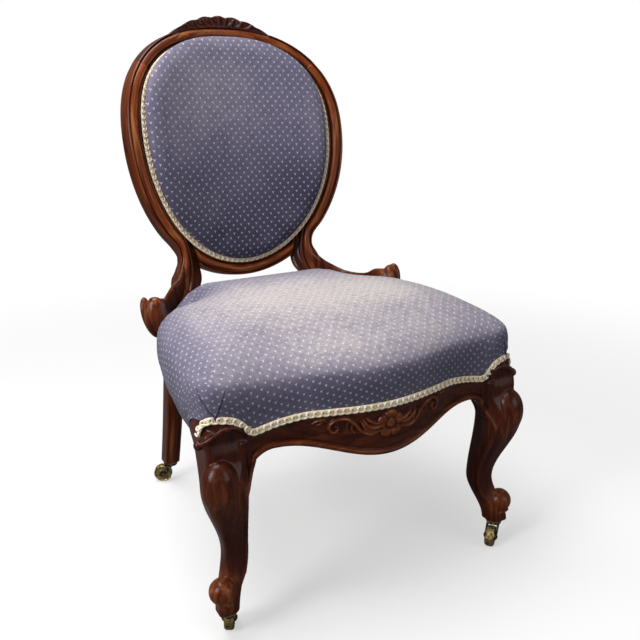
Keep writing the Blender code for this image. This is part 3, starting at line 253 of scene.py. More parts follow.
def rail_carving(x, z):
    """Relief of the rail's face: the rose in the middle, and leaves and stems alike on both sides."""
    return 1.35 * carve(rose(x, z - ROSE_Z, ROSE_RADIUS), np.abs(x), z, [
        ([(0.020, 0.2985), (0.034, 0.2955), (0.048, 0.302), (0.060, 0.3165), (0.074, 0.3265), (0.088, 0.326),
          (0.0975, 0.3165), (0.0940, 0.3075), (0.0865, 0.3075), (0.0850, 0.3140), (0.0895, 0.3160)],
         [0.0026, 0.0030, 0.0034, 0.0030, 0.0028, 0.0024, 0.0020], 0.0042),
        ([(0.022, 0.300), (0.032, 0.2995), (0.042, 0.305), (0.050, 0.3185)],
         [0.0035, 0.0050, 0.0042, 0.0012], 0.0036),
        ([(0.021, 0.305), (0.031, 0.305), (0.040, 0.311), (0.0465, 0.3205)],
         [0.0030, 0.0046, 0.0036, 0.0012], 0.0046),
        ([(0.020, 0.310), (0.028, 0.312), (0.036, 0.317), (0.042, 0.3215)],
         [0.0026, 0.0038, 0.0028, 0.0010], 0.0038),
        ([(0.099, 0.322), (0.106, 0.3275), (0.114, 0.3265), (0.122, 0.3215)],
         [0.0016, 0.0028, 0.0026, 0.0010], 0.0034),
        ([(0.104, 0.3265), (0.109, 0.322), (0.116, 0.319)], [0.0014, 0.0024, 0.0008], 0.0030),
        ([(0.062, 0.318), (0.064, 0.309), (0.059, 0.300)], [0.0016, 0.0024, 0.0010], 0.0028),
        ([(0.068, 0.323), (0.071, 0.314), (0.069, 0.305)], [0.0014, 0.0022, 0.0008], 0.0026),
    ])


def skin(rings, loop=False):
    """Points and faces of a surface through rings of equal count, its ends filled unless it is a loop."""
    rings = np.array(rings, float)
    count, around = rings.shape[:2]
    index = np.arange(count * around).reshape(count, around)
    if loop:
        index = np.concatenate([index, index[:1]])
    a, b = index[:-1], np.roll(index[:-1], -1, 1)
    c, d = np.roll(index[1:], -1, 1), index[1:]
    faces = np.stack([a, b, c, d], -1).reshape(-1, 4).tolist()
    if not loop:
        faces += [index[0][::-1].tolist(), index[-1].tolist()]
    return rings.reshape(-1, 3), faces


def outward_mesh(name, points, faces):
    """A mesh whose faces all look outwards."""
    mesh = bpy.data.meshes.new(name)
    mesh.from_pydata([tuple(p) for p in points], [], faces)
    mesh.update()
    shape = bmesh.new()
    shape.from_mesh(mesh)
    bmesh.ops.recalc_face_normals(shape, faces=shape.faces)
    shape.to_mesh(mesh)
    shape.free()
    return mesh


def show(name, data):
    """A new object in the scene."""
    made = bpy.data.objects.new(name, data)
    bpy.context.scene.collection.objects.link(made)
    return made


def keep_values(mesh, key, values):
    """Keep numbers or vectors at the points of a mesh, for its finish to read."""
    values = np.array(values, np.float32)
    kind, field = ("FLOAT_VECTOR", "vector") if values.ndim == 2 else ("FLOAT", "value")
    mesh.attributes.new(key, kind, "POINT").data.foreach_set(field, values.ravel())


def piece(name, points, faces, finish, attributes=None):
    """A named smooth mesh with a finish, and the values that this finish reads."""
    mesh = outward_mesh(name, points, faces)
    for key, values in (attributes or {}).items():
        keep_values(mesh, key, values)
    mesh.materials.append(finish)
    mesh.shade_smooth()
    return show(name, mesh)


def fit(made, body, slot, *nodes):
    """Put a piece on its body and hide the CAD nodes that it stands for; its slot is not used."""
    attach(made, body)
    if nodes:
        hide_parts(*nodes)
    return made


def polished_mahogany(name):
    """Mahogany under old French polish: dark red-brown, nearly black in the hollows where wax and dirt
    gather, orange where hands have worn it and where a highlight is painted on the left upright, with fine
    pores along the grain and a soft deep shine."""
    made, tree, shader = start_material(name)
    place = add(tree, "Attribute", give="Vector", attribute_name="grain")
    # These values hold wear, and on the left upright also a painted highlight.
    wear_and_highlight = add(tree, "Attribute", give="Fac", attribute_name="wear_and_highlight")
    edge = add(tree, "NewGeometry", give="Pointiness")

    def streaks(length, width, detail, distortion):
        drawn_out = add(tree, "Mapping", {"Vector": place, "Scale": (1 / length, 1 / width, 1 / width)})
        grain = {"Vector": drawn_out, "Scale": 1.0, "Detail": detail, "Distortion": distortion}
        return add(tree, "TexNoise", grain, give="Fac")

    figure = streaks(0.090, 0.009, 6.0, 0.8)
    # Real pores are about 0.1 mm wide; these are drawn ten times as wide so that they show.
    pore = streaks(0.014, 0.0011, 3.0, 0.0)
    dark = add(tree, "ValToRGB", {"Fac": figure}, [(0.28, "#270903"), (0.50, "#3a1006"), (0.75, "#4d1808")])
    worn = add(tree, "ValToRGB", {"Fac": figure}, [(0.30, "#7a2f0f"), (0.50, "#ac5624"), (0.72, "#cf8446")])
    rubbed = add(tree, "MapRange", [edge, 0.51, 0.60, 0.0, 0.25])
    rubbed = add(tree, "Math", [rubbed, wear_and_highlight], operation="ADD", use_clamp=True)
    uneven = add(tree, "MapRange", [figure, 0.25, 0.7, 0.55, 1.1])
    wood = add(tree, "Math", [rubbed, uneven], operation="MULTIPLY", use_clamp=True)
    wood = add(tree, "Mix", {"Factor": wood, "A": dark, "B": worn}, data_type="RGBA")
    # Over the wood lie the pores, then the dirt in the hollows
    pores = add(tree, "MapRange", [pore, 0.58, 0.72, 0.0, 0.5])
    hollows = add(tree, "MapRange", [edge, 0.40, 0.495, 0.85, 0.0])
    for share, code in ((pores, "#1c0804"), (hollows, "#140806")):
        wood = add(tree, "Mix", {"Factor": share, "A": wood, "B": colour(code)}, data_type="RGBA")
    shine = add(tree, "MapRange", [figure, 0.2, 0.8, 0.26, 0.40])
    bump = add(tree, "Bump", {"Height": pore, "Strength": 0.10, "Distance": 0.0004})
    connect(tree, shader, {
        "Base Color": wood, "Roughness": shine, "Normal": bump, "IOR": 1.5, "Specular IOR Level": 0.17,
        "Coat Weight": 0.20, "Coat Roughness": 0.14,
    })
    return made


MAHOGANY = polished_mahogany("polished_mahogany")
RAIL_THICKNESS = 0.034
RAIL_APRON = 0.018
RAIL_DROP = 0.040
RAIL_END_DROP = 0.005
RAIL_BEAD = 0.0044
RAIL_COVE = 0.0022
RAIL_STEP = 0.0011
RAIL_ROWS = 66
BRACKET_START = 0.174
BRACKET_REACH = 0.044
BRACKET_DROP = 0.044


def apron_bottom(x):
    """Lower edge of the rail: a wave that drops in the middle and turns down into each leg."""
    side = np.abs(x)
    wave = 0.5 + 0.5 * np.cos(pi * np.minimum(1.0, side / (0.80 * LEG_INNER_X)))
    bracket = 1 - np.sqrt(1 - np.clip((side - BRACKET_START) / BRACKET_REACH, 0, 1) ** 2)
    return RAIL_BOTTOM_Z - RAIL_END_DROP - (RAIL_DROP - RAIL_END_DROP) * wave - BRACKET_DROP * bracket


rail_x = np.arange(-LEG_INNER_X + 0.0003, LEG_INNER_X, RAIL_STEP)
front_run = np.arange(-60, 61)
front_run = front_run[np.argsort(PLAN[front_run, 0])]
front_x, front_y = PLAN[front_run].T
rail_y = np.interp(rail_x, front_x, front_y) + DATUM_Y
rail_in = interpolate(rail_x, front_x, PLAN_IN[front_run])
rail_low = apron_bottom(rail_x)
rail_high = gimp_line(rail_x)
share = np.linspace(0, 1, RAIL_ROWS)
face_z = rail_low[:, None] + (rail_high - rail_low)[:, None] * share
slope = np.gradient(rail_low, RAIL_STEP)
above = (face_z - rail_low[:, None]) / np.sqrt(1 + slope * slope)[:, None]
below = rail_high[:, None] - face_z
bead_curve = np.sqrt(np.clip(1 - ((above - RAIL_BEAD) / RAIL_BEAD) ** 2, 0, None)) * RAIL_BEAD
bead_flat = np.where(above < 2 * RAIL_BEAD, bead_curve, 0)
groove = 0.0014 * np.exp(-((above - 2.25 * RAIL_BEAD) / 0.0011) ** 2)
cove = RAIL_COVE * np.clip(1 - ((above - 0.55 * (above + below)) / (0.42 * (above + below))) ** 2, 0, 1)
carving = rail_carving(np.repeat(rail_x[:, None], RAIL_ROWS, 1), face_z)
carving *= np.clip((above - 2.1 * RAIL_BEAD) / 0.001, 0, 1)
face_out = bead_flat - groove - cove + carving
rail_back = np.repeat([COVER_THICKNESS, RAIL_THICKNESS, RAIL_APRON], 2)
rail_rings = []
for i in range(len(rail_x)):
    heights = [rail_high[i], RAIL_TOP_Z, RAIL_TOP_Z, RAIL_BOTTOM_Z, RAIL_BOTTOM_Z, rail_low[i]]
    depth = np.concatenate([COVER_TUCK - face_out[i], rail_back + COVER_TUCK])
    flat = (rail_x[i], rail_y[i]) + rail_in[i] * depth[:, None]
    rail_rings.append(np.column_stack([flat, np.concatenate([face_z[i], heights])]))
points, faces = skin(rail_rings)
face_wear = 0.06 + 0.34 * np.clip(carving / 0.0055, 0, 1) + 0.18 * (bead_flat > 0)
wear_and_highlight = np.concatenate([face_wear, np.zeros((len(rail_x), len(rail_back)))], 1).ravel()
front_rail = piece("front_rail_carved", points, faces, MAHOGANY, {"grain": points, "wear_and_highlight": wear_and_highlight})
fit(front_rail, "frame", "mahogany", "front_rail")


# Front legs: cabriole legs sawn and carved from square mahogany, with a scroll over the shoulder that ends
# in a small ear, a full knee under a crescent cut, a slim ankle and a scrolled toe. Tenoned to the rails.

CASTOR_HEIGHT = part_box("castor_plate_front_left")[1].z + 0.0003
LEG_CENTRE_X = LEG_OUTER_X - 0.5 * LEG_TOP_SIZE
LEG_CENTRE_Y = LEG_OUTER_Y + 0.5 * LEG_TOP_SIZE + DATUM_Y
LEG_SHOULDER_Z = RAIL_BOTTOM_Z + 0.033
LEG_KNEE_Z = 0.246
LEG_ANKLE_Z = 0.130
LEG_NECK_Z = LEG_KNEE_Z + 0.6 * (LEG_SHOULDER_Z - LEG_KNEE_Z)
# Height, how far the section's centre lies outwards and forwards of the square top's centre, and width
LEG_SHAPE = [
    (RAIL_TOP_Z, -0.0016, -0.0016, 0.0655), (LEG_SHOULDER_Z + 0.004, -0.0010, -0.0010, 0.0675),
    (LEG_SHOULDER_Z - 0.006, 0.0, 0.0005, 0.0680), (LEG_NECK_Z, 0.0, 0.008, 0.066),
    (LEG_KNEE_Z, 0.008, 0.0285, 0.063), (LEG_ANKLE_Z, -0.0105, 0.0105, 0.0365),
    (CASTOR_HEIGHT, 0.0115, 0.0330, 0.0350),
]
LEG_STEPS = 14
LEG_ARRIS = 0.006
LEG_SIDE_ROUNDING = 0.44
LEG_FACE_ROUNDING = 0.22
TOE_RADIUS = 0.0205
TOE_OUT = 0.0190
TOE_FORWARD = 0.0350
TOE_RISE = 0.035
# Under the cover the leg's outer corner is rounded, so that it stays inside the pleats
LEG_COVERED_Z = 0.326
LEG_COVERED_ROUND = 0.036
CARVING_VOXEL = 0.0013
SIDES = {"left": -1, "right": 1}


def ease(t):
    t = np.clip(t, 0, 1)
    return t * t * (3 - 2 * t)


def leg_line():
    """Sections of the leg from top to foot: height, outwards, forwards and width."""
    made = []
    for start, end in zip(LEG_SHAPE, LEG_SHAPE[1:]):
        for k in range(LEG_STEPS):
            z = start[0] + (end[0] - start[0]) * k / LEG_STEPS
            made.append([z] + [a + (b - a) * ease(k / LEG_STEPS) for a, b in zip(start[1:], end[1:])])
    return np.array(made + [LEG_SHAPE[-1]])


def leg_ring(z, out, forward, width, corner_steps=12):
    """Ring round the right leg: round on the two side corners, tighter on the leading and trailing ones."""
    rounded = ease((LEG_SHOULDER_Z - z) / (LEG_SHOULDER_Z - LEG_KNEE_Z))
    side_round = LEG_ARRIS + (LEG_SIDE_ROUNDING * width - LEG_ARRIS) * rounded
    face_round = LEG_ARRIS + (LEG_FACE_ROUNDING * width - LEG_ARRIS) * rounded
    half = 0.5 * width
    under_cover = float(ease((z - LEG_COVERED_Z) / 0.010))
    ring = []
    for quarter, (sx, sy) in enumerate(((1, 1), (-1, 1), (-1, -1), (1, -1))):
        radius = face_round if sx == -sy else side_round
        if (sx, sy) == (1, -1):
            radius += (LEG_COVERED_ROUND - radius) * under_cover
        cx = LEG_CENTRE_X + out + sx * (half - radius)
        cy = LEG_CENTRE_Y - forward + sy * (half - radius)
        for step in range(corner_steps):
            angle = 0.5 * pi * (quarter + step / (corner_steps - 1))
            ring.append((cx + radius * cos(angle), cy + radius * sin(angle), z))
    return ring


def tube(line, radii, around=10):
    """Closed round bar along a line, with a radius at each of its points."""
    line = np.array(line, float)
    radii = np.interp(np.linspace(0, 1, len(line)), np.linspace(0, 1, len(radii)), radii)
    along = np.gradient(line, axis=0)
    along /= np.linalg.norm(along, axis=1)[:, None]
    helper = np.array([0.31, 0.17, 0.93]) if abs(along[0, 2]) < 0.9 else np.array([0.97, 0.2, 0.1])
    side = np.cross(along[0], helper)
    turn = np.linspace(0, 2 * pi, around, endpoint=False)[:, None]
    rings = []
    for at, direction, radius in zip(line, along, radii):
        side = side - direction * side.dot(direction)
        side /= np.linalg.norm(side)
        up = np.cross(direction, side)
        rings.append(at + radius * (np.cos(turn) * side + np.sin(turn) * up))
    return skin(rings)


def ball(centre, radii, rings=18, around=28):
    """Closed round boss with its own radius along each axis."""
    turn = np.linspace(0, 2 * pi, around, endpoint=False)
    circle = np.column_stack([np.cos(turn), np.sin(turn)])
    made = []
    for polar in pi * np.arange(1, rings) / rings:
        made.append(np.column_stack([np.sin(polar) * circle, np.full(around, np.cos(polar))]))
    return skin(np.array(made) * radii + centre)


def merge(shells):
    """Points and faces of several shells in one list each."""
    points, faces = [], []
    for shell_points, shell_faces in shells:
        faces += [[i + len(points) for i in face] for face in shell_faces]
        points += list(shell_points)
    return points, faces


def read_points(mesh, field="co"):
    """The places of a mesh's points, or their normals, one to a row."""
    values = np.empty(len(mesh.vertices) * 3, np.float32)
    mesh.vertices.foreach_get(field, values)
    return values.reshape(-1, 3).astype(float)


def carved_block(name, shells, smoothing):
    """One carved solid from shells that run into each other, its tool marks softened as sanding would."""
    mesh = outward_mesh(name, *merge(shells))
    block = show(name, mesh)
    remesh = block.modifiers.new("one_block", "REMESH")
    remesh.mode = "VOXEL"
    remesh.voxel_size = CARVING_VOXEL
    sanding = block.modifiers.new("sanding", "SMOOTH")
    sanding.factor = 0.5
    sanding.iterations = smoothing
    bpy.context.view_layer.update()
    solid = block.evaluated_get(bpy.context.evaluated_depsgraph_get()).to_mesh()
    points = read_points(solid)
    faces = [list(face.vertices) for face in solid.polygons]
    bpy.data.objects.remove(block)
    bpy.data.meshes.remove(mesh)
    return points, faces


def carved_pair(name, node, points, faces, wear_and_highlight):
    """The left and the right piece of one carved shape, with upright grain."""
    for word, sign in SIDES.items():
        mirrored = points * (sign, 1, 1)
        made = piece(name + word, mirrored, faces, MAHOGANY, {"grain": mirrored[:, [2, 0, 1]], "wear_and_highlight": wear_and_highlight})
        fit(made, "frame", "mahogany", node + word)


line = leg_line()
leg_rings = [leg_ring(*section) for section in line]
toe_centre = np.array([LEG_CENTRE_X + TOE_OUT, LEG_CENTRE_Y - TOE_FORWARD, CASTOR_HEIGHT + TOE_RISE])
shoulder_y = LEG_OUTER_Y + DATUM_Y
scroll = curve(np.array([
    (0.2115, 0.0, 0.3135), (0.2165, -0.0005, 0.3235), (0.2260, -0.001, 0.3335), (0.2390, -0.0015, 0.3385),
    (0.2525, -0.0015, 0.3370), (0.2640, -0.001, 0.3315), (0.2740, 0.002, 0.3250), (0.2820, 0.008, 0.3195),
]) + (0, shoulder_y, 0))
ear = ball((0.2845, shoulder_y + 0.013, 0.3165), (0.0062, 0.0075, 0.0075))
knee = ball((LEG_CENTRE_X + 0.0175, LEG_CENTRE_Y - 0.0405, LEG_KNEE_Z + 0.010), (0.0275, 0.0255, 0.0400))
toe = ball(toe_centre, (TOE_RADIUS, TOE_RADIUS, TOE_RADIUS))
# Bracket that carries the rail's lower edge on into the leg
BRACKET_END_X = 0.228
BRACKET_TOP_Z = 0.314
bracket_side = np.linspace(LEG_INNER_X - 0.002, BRACKET_START + BRACKET_REACH, 12)
bracket_low = apron_bottom(bracket_side)
bracket_x = np.append(bracket_side, [BRACKET_END_X, BRACKET_END_X, bracket_side[0]])
bracket_z = np.append(bracket_low, [bracket_low[-1], BRACKET_TOP_Z, BRACKET_TOP_Z])
bracket_y = np.where(bracket_x < 0.225, 0.0, -0.006) + shoulder_y + 0.0004
bracket = skin([np.column_stack([bracket_x, bracket_y + deep, bracket_z]) for deep in (0, 0.018)])
# Raised line down the leg's inner front corner, from the rail's bead into the toe
arris_start = LEG_INNER_X - 0.0030
arris_line = [(arris_start, shoulder_y - 0.0006, apron_bottom(arris_start) + RAIL_BEAD),
              (0.2135, shoulder_y - 0.0030, 0.2665), (0.2185, shoulder_y - 0.0085, 0.2565),
              (0.2232, shoulder_y - 0.0140, 0.2465)]
for z, out, forward, width in line:
    if z < LEG_SHOULDER_Z - 0.088:
        reach = 0.5 * width * (1 - 0.293 * 2 * LEG_SIDE_ROUNDING) + 0.0002
        arris_line.append((LEG_CENTRE_X + out - reach - 0.0015, LEG_CENTRE_Y - forward - reach - 0.0015, z))
arris_line = np.array(arris_line)
turn_in = toe_centre + [(-0.0150, -0.0090, -0.0165), (-0.0050, -0.0160, -0.0160), (0.0060, -0.0180, -0.0110)]
arris_line = np.concatenate([arris_line[:-9], curve(np.concatenate([arris_line[-10:-9], turn_in]))])
arris = tube(arris_line, [0.0042, 0.0030, 0.0026, 0.0024, 0.0024, 0.0026, 0.0022])
leg_points, leg_faces = carved_block(
    "front_leg_block",
    [skin(leg_rings), tube(scroll, [0.0030, 0.0042, 0.0042, 0.0036]), ear, knee, toe, bracket, arris], 5)
near_toe = np.exp(-(np.linalg.norm(leg_points - toe_centre, axis=1) / 0.022) ** 2)
near_knee = np.exp(-((leg_points[:, 2] - LEG_KNEE_Z + 0.006) / 0.030) ** 2)
near_knee *= np.clip((LEG_CENTRE_Y - 0.020 - leg_points[:, 1]) / 0.03, 0, 1)
leg_wear = 0.03 + 0.65 * near_toe + 0.18 * near_knee
carved_pair("front_leg_carved_", "front_leg_", leg_points, leg_faces, leg_wear)


# Back frame: uprights, crest rail and lower rail of mahogany, shaped to a hollow raked oval and run with a
# moulding of three beads. Each upright is one piece with its rear leg; dowelled joints show as fine lines.

OVAL_HALF_WIDTH = 0.217
OVAL_CENTRE_Z = 0.700
OVAL_RISE = 0.198
OVAL_DROP = 0.277
OVAL_TOP_POWER = 2.4
FRAME_WIDTH = 0.039
FRAME_DEPTH = 0.028
CREST_HALF_ANGLE = radians(52)
WAIST_ANGLE = radians(138)
LOWER_RAIL_ANGLE = radians(153.5)
JOINT_ANGLE = 0.0003 / OVAL_HALF_WIDTH
BACK_Y = 0.2465 + DATUM_Y
BACK_RAKE = tan(radians(11.7))
BACK_HOLLOW = 0.0612 / OVAL_HALF_WIDTH ** 2


def oval(angle, offset=0.0):
    """Point of the oval at an angle from its top, moved inwards by an offset, as x and z."""
    s, c = sin(angle), cos(angle)
    exponent = OVAL_TOP_POWER if c > 0 else 2.0
    height = OVAL_RISE if c > 0 else OVAL_DROP
    x = OVAL_HALF_WIDTH * abs(s) ** (2 / exponent) * (1 if s >= 0 else -1)
    z = height * abs(c) ** (2 / exponent) * (1 if c >= 0 else -1)
    nx = abs(x / OVAL_HALF_WIDTH) ** (exponent - 1) / OVAL_HALF_WIDTH * (1 if s >= 0 else -1)
    nz = abs(z / height) ** (exponent - 1) / height * (1 if c >= 0 else -1)
    length = (nx * nx + nz * nz) ** 0.5
    return np.array([x - offset * nx / length, OVAL_CENTRE_Z + z - offset * nz / length])


STILE_HALF, STILE_Z = oval(LOWER_RAIL_ANGLE) + (0.0003, 0)


def on_back(place):
    """A point of the back's front face, from its x and z."""
    x, z = place
    return np.array([x, BACK_Y + (z - STILE_Z) * BACK_RAKE - BACK_HOLLOW * x * x, z])


def back_direction(x):
    """Straight into the back, square to its front face."""
    made = np.array([2 * BACK_HOLLOW * x, 1.0, -BACK_RAKE])
    return made / np.linalg.norm(made)


def moulding_bead(centre, half, top, foot, count):
    turn = np.linspace(0, pi, count)
    return np.column_stack([centre - half * np.cos(turn), foot - (foot - top) * np.sin(turn)])


# Share of the width from the outer edge, and share of the depth, for the moulded and the plain section
OUTER_BEAD_POINTS = 9
MAIN_BEAD_POINTS = 19
INNER_BEAD_POINTS = 11
REBATE = [(0.71, 0.37), (0.85, 0.385), (1.0, 0.40)]
FRONT_PROFILE = np.concatenate([
    moulding_bead(0.055, 0.055, 0.13, 0.36, OUTER_BEAD_POINTS),
    moulding_bead(0.320, 0.205, 0.0, 0.27, MAIN_BEAD_POINTS),
    moulding_bead(0.610, 0.080, 0.13, 0.30, INNER_BEAD_POINTS), REBATE,
])
PLAIN_EDGE = 0.12
plain_in = np.clip(1 - np.minimum(FRONT_PROFILE[:, 0], 1 - FRONT_PROFILE[:, 0]) / PLAIN_EDGE, 0, 1)
PLAIN_PROFILE = 0.14 * (1 - np.sqrt(1 - plain_in ** 2))
BACK_PROFILE = np.array([(1.0, 0.60), (1.0, 0.90), (0.98, 0.97), (0.93, 1.0), (0.5, 1.0), (0.07, 1.0),
                         (0.02, 0.97), (0.0, 0.90), (0.0, 0.60)])


def moulded_section(outer, inner, direction, depth, moulded=1.0, outer_direction=None):
    """Ring across the frame from its outer to its inner edge and back behind."""
    front = moulded * FRONT_PROFILE[:, 1] + (1 - moulded) * PLAIN_PROFILE
    u = np.concatenate([FRONT_PROFILE[:, 0], BACK_PROFILE[:, 0]])[:, None]
    v = np.concatenate([front, BACK_PROFILE[:, 1]])[:, None]
    start = direction if outer_direction is None else outer_direction
    return outer + (inner - outer) * u + (start + (direction - start) * u) * v * depth


def oval_section(outer_angle, inner_angle):
    outer, inner = on_back(oval(outer_angle)), on_back(oval(inner_angle, FRAME_WIDTH))
    return moulded_section(outer, inner, back_direction(inner[0]), FRAME_DEPTH)


def flow(rings, steps):
    """More rings between given ones, so that every line of the moulding runs on smoothly."""
    rings = np.array(rings, float)
    run = distance_along(rings)
    slope = np.gradient(rings, run, axis=0)
    made = []
    for i in range(len(rings) - 1):
        gap = run[i + 1] - run[i]
        for t in np.linspace(0, 1, steps, endpoint=False):
            made.append((2 * t ** 3 - 3 * t ** 2 + 1) * rings[i] + (t ** 3 - 2 * t ** 2 + t) * gap * slope[i]
                        + (3 * t ** 2 - 2 * t ** 3) * rings[i + 1] + (t ** 3 - t ** 2) * gap * slope[i + 1])
    return np.array(made + [rings[-1]])


def run_along(rings):
    """Grain of a moulded piece: distance along it, then across and round it."""
    rings = np.array(rings)
    along = distance_along(rings.mean(1))
    around = np.cumsum(np.linalg.norm(np.diff(rings, axis=1, prepend=rings[:, -1:]), axis=2), axis=1)
    return np.stack([np.repeat(along[:, None], rings.shape[1], 1), around, 0 * around], -1).reshape(-1, 3)


# Wear across the moulding: most on the middle bead, where hands take hold
BAND_WEAR = np.concatenate([
    np.full(OUTER_BEAD_POINTS, 0.30), 0.15 + 0.85 * np.sin(np.linspace(0, pi, MAIN_BEAD_POINTS)) ** 1.4,
    np.full(INNER_BEAD_POINTS, 0.30), np.full(len(REBATE), 0.05), np.full(len(BACK_PROFILE), 0.12),
])


def moulded_piece(name, rings, node, wear_and_highlight_scale):
    points, faces = skin(rings)
    wear_and_highlight = (np.array(wear_and_highlight_scale)[:, None] * BAND_WEAR).ravel()
    made = piece(name, points, faces, MAHOGANY, {"grain": run_along(rings), "wear_and_highlight": wear_and_highlight})
    return fit(made, "frame", "mahogany", node)


# Crest rail, with leaves carved on its top
CREST_STATIONS = 260
CREST_LEAF_HALF_ANGLE = radians(23)
CREST_LEAF_HEIGHT = 0.021
CREST_LEAF_ROWS = 16
crest_end = CREST_HALF_ANGLE - JOINT_ANGLE
crest_angles = np.linspace(-crest_end, crest_end, CREST_STATIONS)
crest_run = np.array([oval(a)[0] for a in crest_angles])
leaf_span = oval(CREST_LEAF_HALF_ANGLE)[0]


def leaf_height(s):
    """Height of the carving above the rail, with lobed leaf tips along its top."""
    side = np.abs(s) / leaf_span
    body = np.clip(1 - side ** 2.0, 0, None) * CREST_LEAF_HEIGHT
    lobes = 0.82 + 0.18 * np.abs(np.cos(np.abs(s) * pi / 0.030))
    return body * lobes


def leaf_relief(s, h):
    """Relief of the crest: a budding middle leaf with five pairs of turned leaves."""
    return carve(0.0012 * np.ones_like(s), np.abs(s), h, [
        ([(0.0, 0.002), (0.0, 0.010), (0.002, 0.018)], [0.0050, 0.0062, 0.0030], 0.0052),
        ([(0.006, 0.003), (0.013, 0.009), (0.017, 0.0165)], [0.0036, 0.0046, 0.0030], 0.0046),
        ([(0.012, 0.002), (0.024, 0.006), (0.031, 0.0135)], [0.0030, 0.0044, 0.0032], 0.0048),
        ([(0.024, 0.002), (0.040, 0.004), (0.048, 0.0115)], [0.0028, 0.0042, 0.0034], 0.0046),
        ([(0.042, 0.0015), (0.058, 0.003), (0.067, 0.0085)], [0.0024, 0.0038, 0.0030], 0.0042),
        ([(0.060, 0.001), (0.076, 0.002), (0.088, 0.003)], [0.0022, 0.0030, 0.0014], 0.0034),
    ])


crest_rings, crest_wear = [], []
rise = np.linspace(1, 0, CREST_LEAF_ROWS)
for angle, s in zip(crest_angles, crest_run):
    ring = oval_section(angle, angle)
    bead, rest = ring[:OUTER_BEAD_POINTS], ring[OUTER_BEAD_POINTS:]
    height = float(leaf_height(s))
    if height > 0:
        face = bead[-1] + (bead[0] + (0, 0, height) - bead[-1]) * rise[:, None]
        relief = leaf_relief(np.full(CREST_LEAF_ROWS, s), rise * height) * min(1.0, height / 0.006)
        face = face - back_direction(rest[0][0]) * relief[:, None]
    else:
        at = np.linspace(0, OUTER_BEAD_POINTS - 1, CREST_LEAF_ROWS)
        face = interpolate(at, np.arange(OUTER_BEAD_POINTS), bead)
    tail = rest[-4:] + np.array([(0, 0, height * k) for k in (0.2, 0.8, 1.0, 1.0)])
    crest_rings.append(np.concatenate([face, rest[:-4], tail]))
    face_wear = np.full(CREST_LEAF_ROWS, 0.14 if height == 0 else 0.0)
    crest_wear.append(np.concatenate([face_wear, BAND_WEAR[OUTER_BEAD_POINTS:]]))
points, faces = skin(crest_rings)
crest = piece("crest_rail_carved", points, faces, MAHOGANY,
              {"grain": run_along(crest_rings), "wear_and_highlight": np.concatenate(crest_wear) * 0.5})
fit(crest, "frame", "mahogany", "crest_rail")

# Lower rail
LOWER_RAIL_STATIONS = 61
lower_rings = [oval_section(pi + k * (pi - LOWER_RAIL_ANGLE), pi + k * (pi - WAIST_ANGLE - JOINT_ANGLE))
               for k in np.linspace(-1, 1, LOWER_RAIL_STATIONS)]
moulded_piece("lower_back_rail_moulded", lower_rings, "lower_back_rail", np.full(LOWER_RAIL_STATIONS, 0.75))

# Uprights: down the side of the oval, through the waist and on as the rear leg
STILE_WIDTH = 0.055
REAR_LEG_HALF_OUTER = 0.186
REAR_LEG_SIZE = 0.036
REAR_FOOT_HALF = 0.183
REAR_FOOT_SIZE = 0.031
REAR_FOOT_Y = 0.252 + DATUM_Y
HIP_BOTTOM_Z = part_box("hip_scroll_left")[0].z
REAR_LEG_TOP_Z = HIP_BOTTOM_Z - 0.006
rear_leg_front = SEAT_REAR_Y + DATUM_Y + 0.0003
rear_foot_front = REAR_FOOT_Y - 0.5 * REAR_FOOT_SIZE
stile_outer = STILE_HALF + STILE_WIDTH
waist_outer, waist_inner = oval(WAIST_ANGLE), oval(WAIST_ANGLE, FRAME_WIDTH)
stile_foot = np.array([STILE_HALF, STILE_Z])
neck_outer = (0.5 * (waist_outer[0] + stile_outer) - 0.006, 0.5 * (waist_outer[1] + STILE_Z))
neck_inner = 0.5 * (waist_inner + stile_foot)
neck_into = back_direction(waist_inner[0])
upright_rings = [oval_section(a, a) for a in np.linspace(CREST_HALF_ANGLE, WAIST_ANGLE, 12)]
for outer, inner in ((neck_outer, neck_inner), ((stile_outer, STILE_Z), stile_foot)):
    upright_rings.append(moulded_section(on_back(outer), on_back(inner), neck_into, FRAME_DEPTH,
                                         outer_direction=back_direction(0)))
stile_front = on_back((STILE_HALF + 0.5 * STILE_WIDTH, STILE_Z))[1]
backwards = np.array([0.0, 1.0, 0.0])
for k in range(1, 6):
    z = STILE_Z + (REAR_LEG_TOP_Z - STILE_Z) * k / 5
    down = float(ease(k / 5))
    outer = np.interp(z, [REAR_LEG_TOP_Z, STILE_Z], [REAR_LEG_HALF_OUTER, stile_outer])
    inner = STILE_HALF + (REAR_LEG_HALF_OUTER - REAR_LEG_SIZE - STILE_HALF) * down
    front = stile_front + (rear_leg_front - stile_front) * float(ease(1.8 * k / 5))
    depth = FRAME_DEPTH + (REAR_LEG_SIZE - FRAME_DEPTH) * down
    edges = np.array([(outer, front, z), (inner, front, z)])
    upright_rings.append(moulded_section(*edges, backwards, depth, 1 - down))
for k in range(1, 5):
    z = REAR_LEG_TOP_Z + (CASTOR_HEIGHT - REAR_LEG_TOP_Z) * k / 4
    size = REAR_LEG_SIZE + (REAR_FOOT_SIZE - REAR_LEG_SIZE) * k / 4
    outer = REAR_LEG_HALF_OUTER + (REAR_FOOT_HALF + 0.5 * REAR_FOOT_SIZE - REAR_LEG_HALF_OUTER) * k / 4
    front = rear_leg_front + (rear_foot_front - rear_leg_front) * (k / 4) ** 1.6
    edges = np.array([(outer, front, z), (outer - size, front, z)])
    upright_rings.append(moulded_section(*edges, backwards, size, 0.0))
right_rings = flow(upright_rings, 12)
UPRIGHT_WEAR_Z = [0.05, 0.30, 0.42, 0.55, 0.85]
UPRIGHT_WEAR = [0.40, 0.35, 0.75, 1.0, 1.0]
# Painted highlight: the right upright takes only this share of the wear colour, so that the left one is drawn
# lighter, as if lit from the left.
RIGHT_HIGHLIGHT_SHARE = 0.6
upright_wear = np.interp(right_rings.mean(1)[:, 2], UPRIGHT_WEAR_Z, UPRIGHT_WEAR)
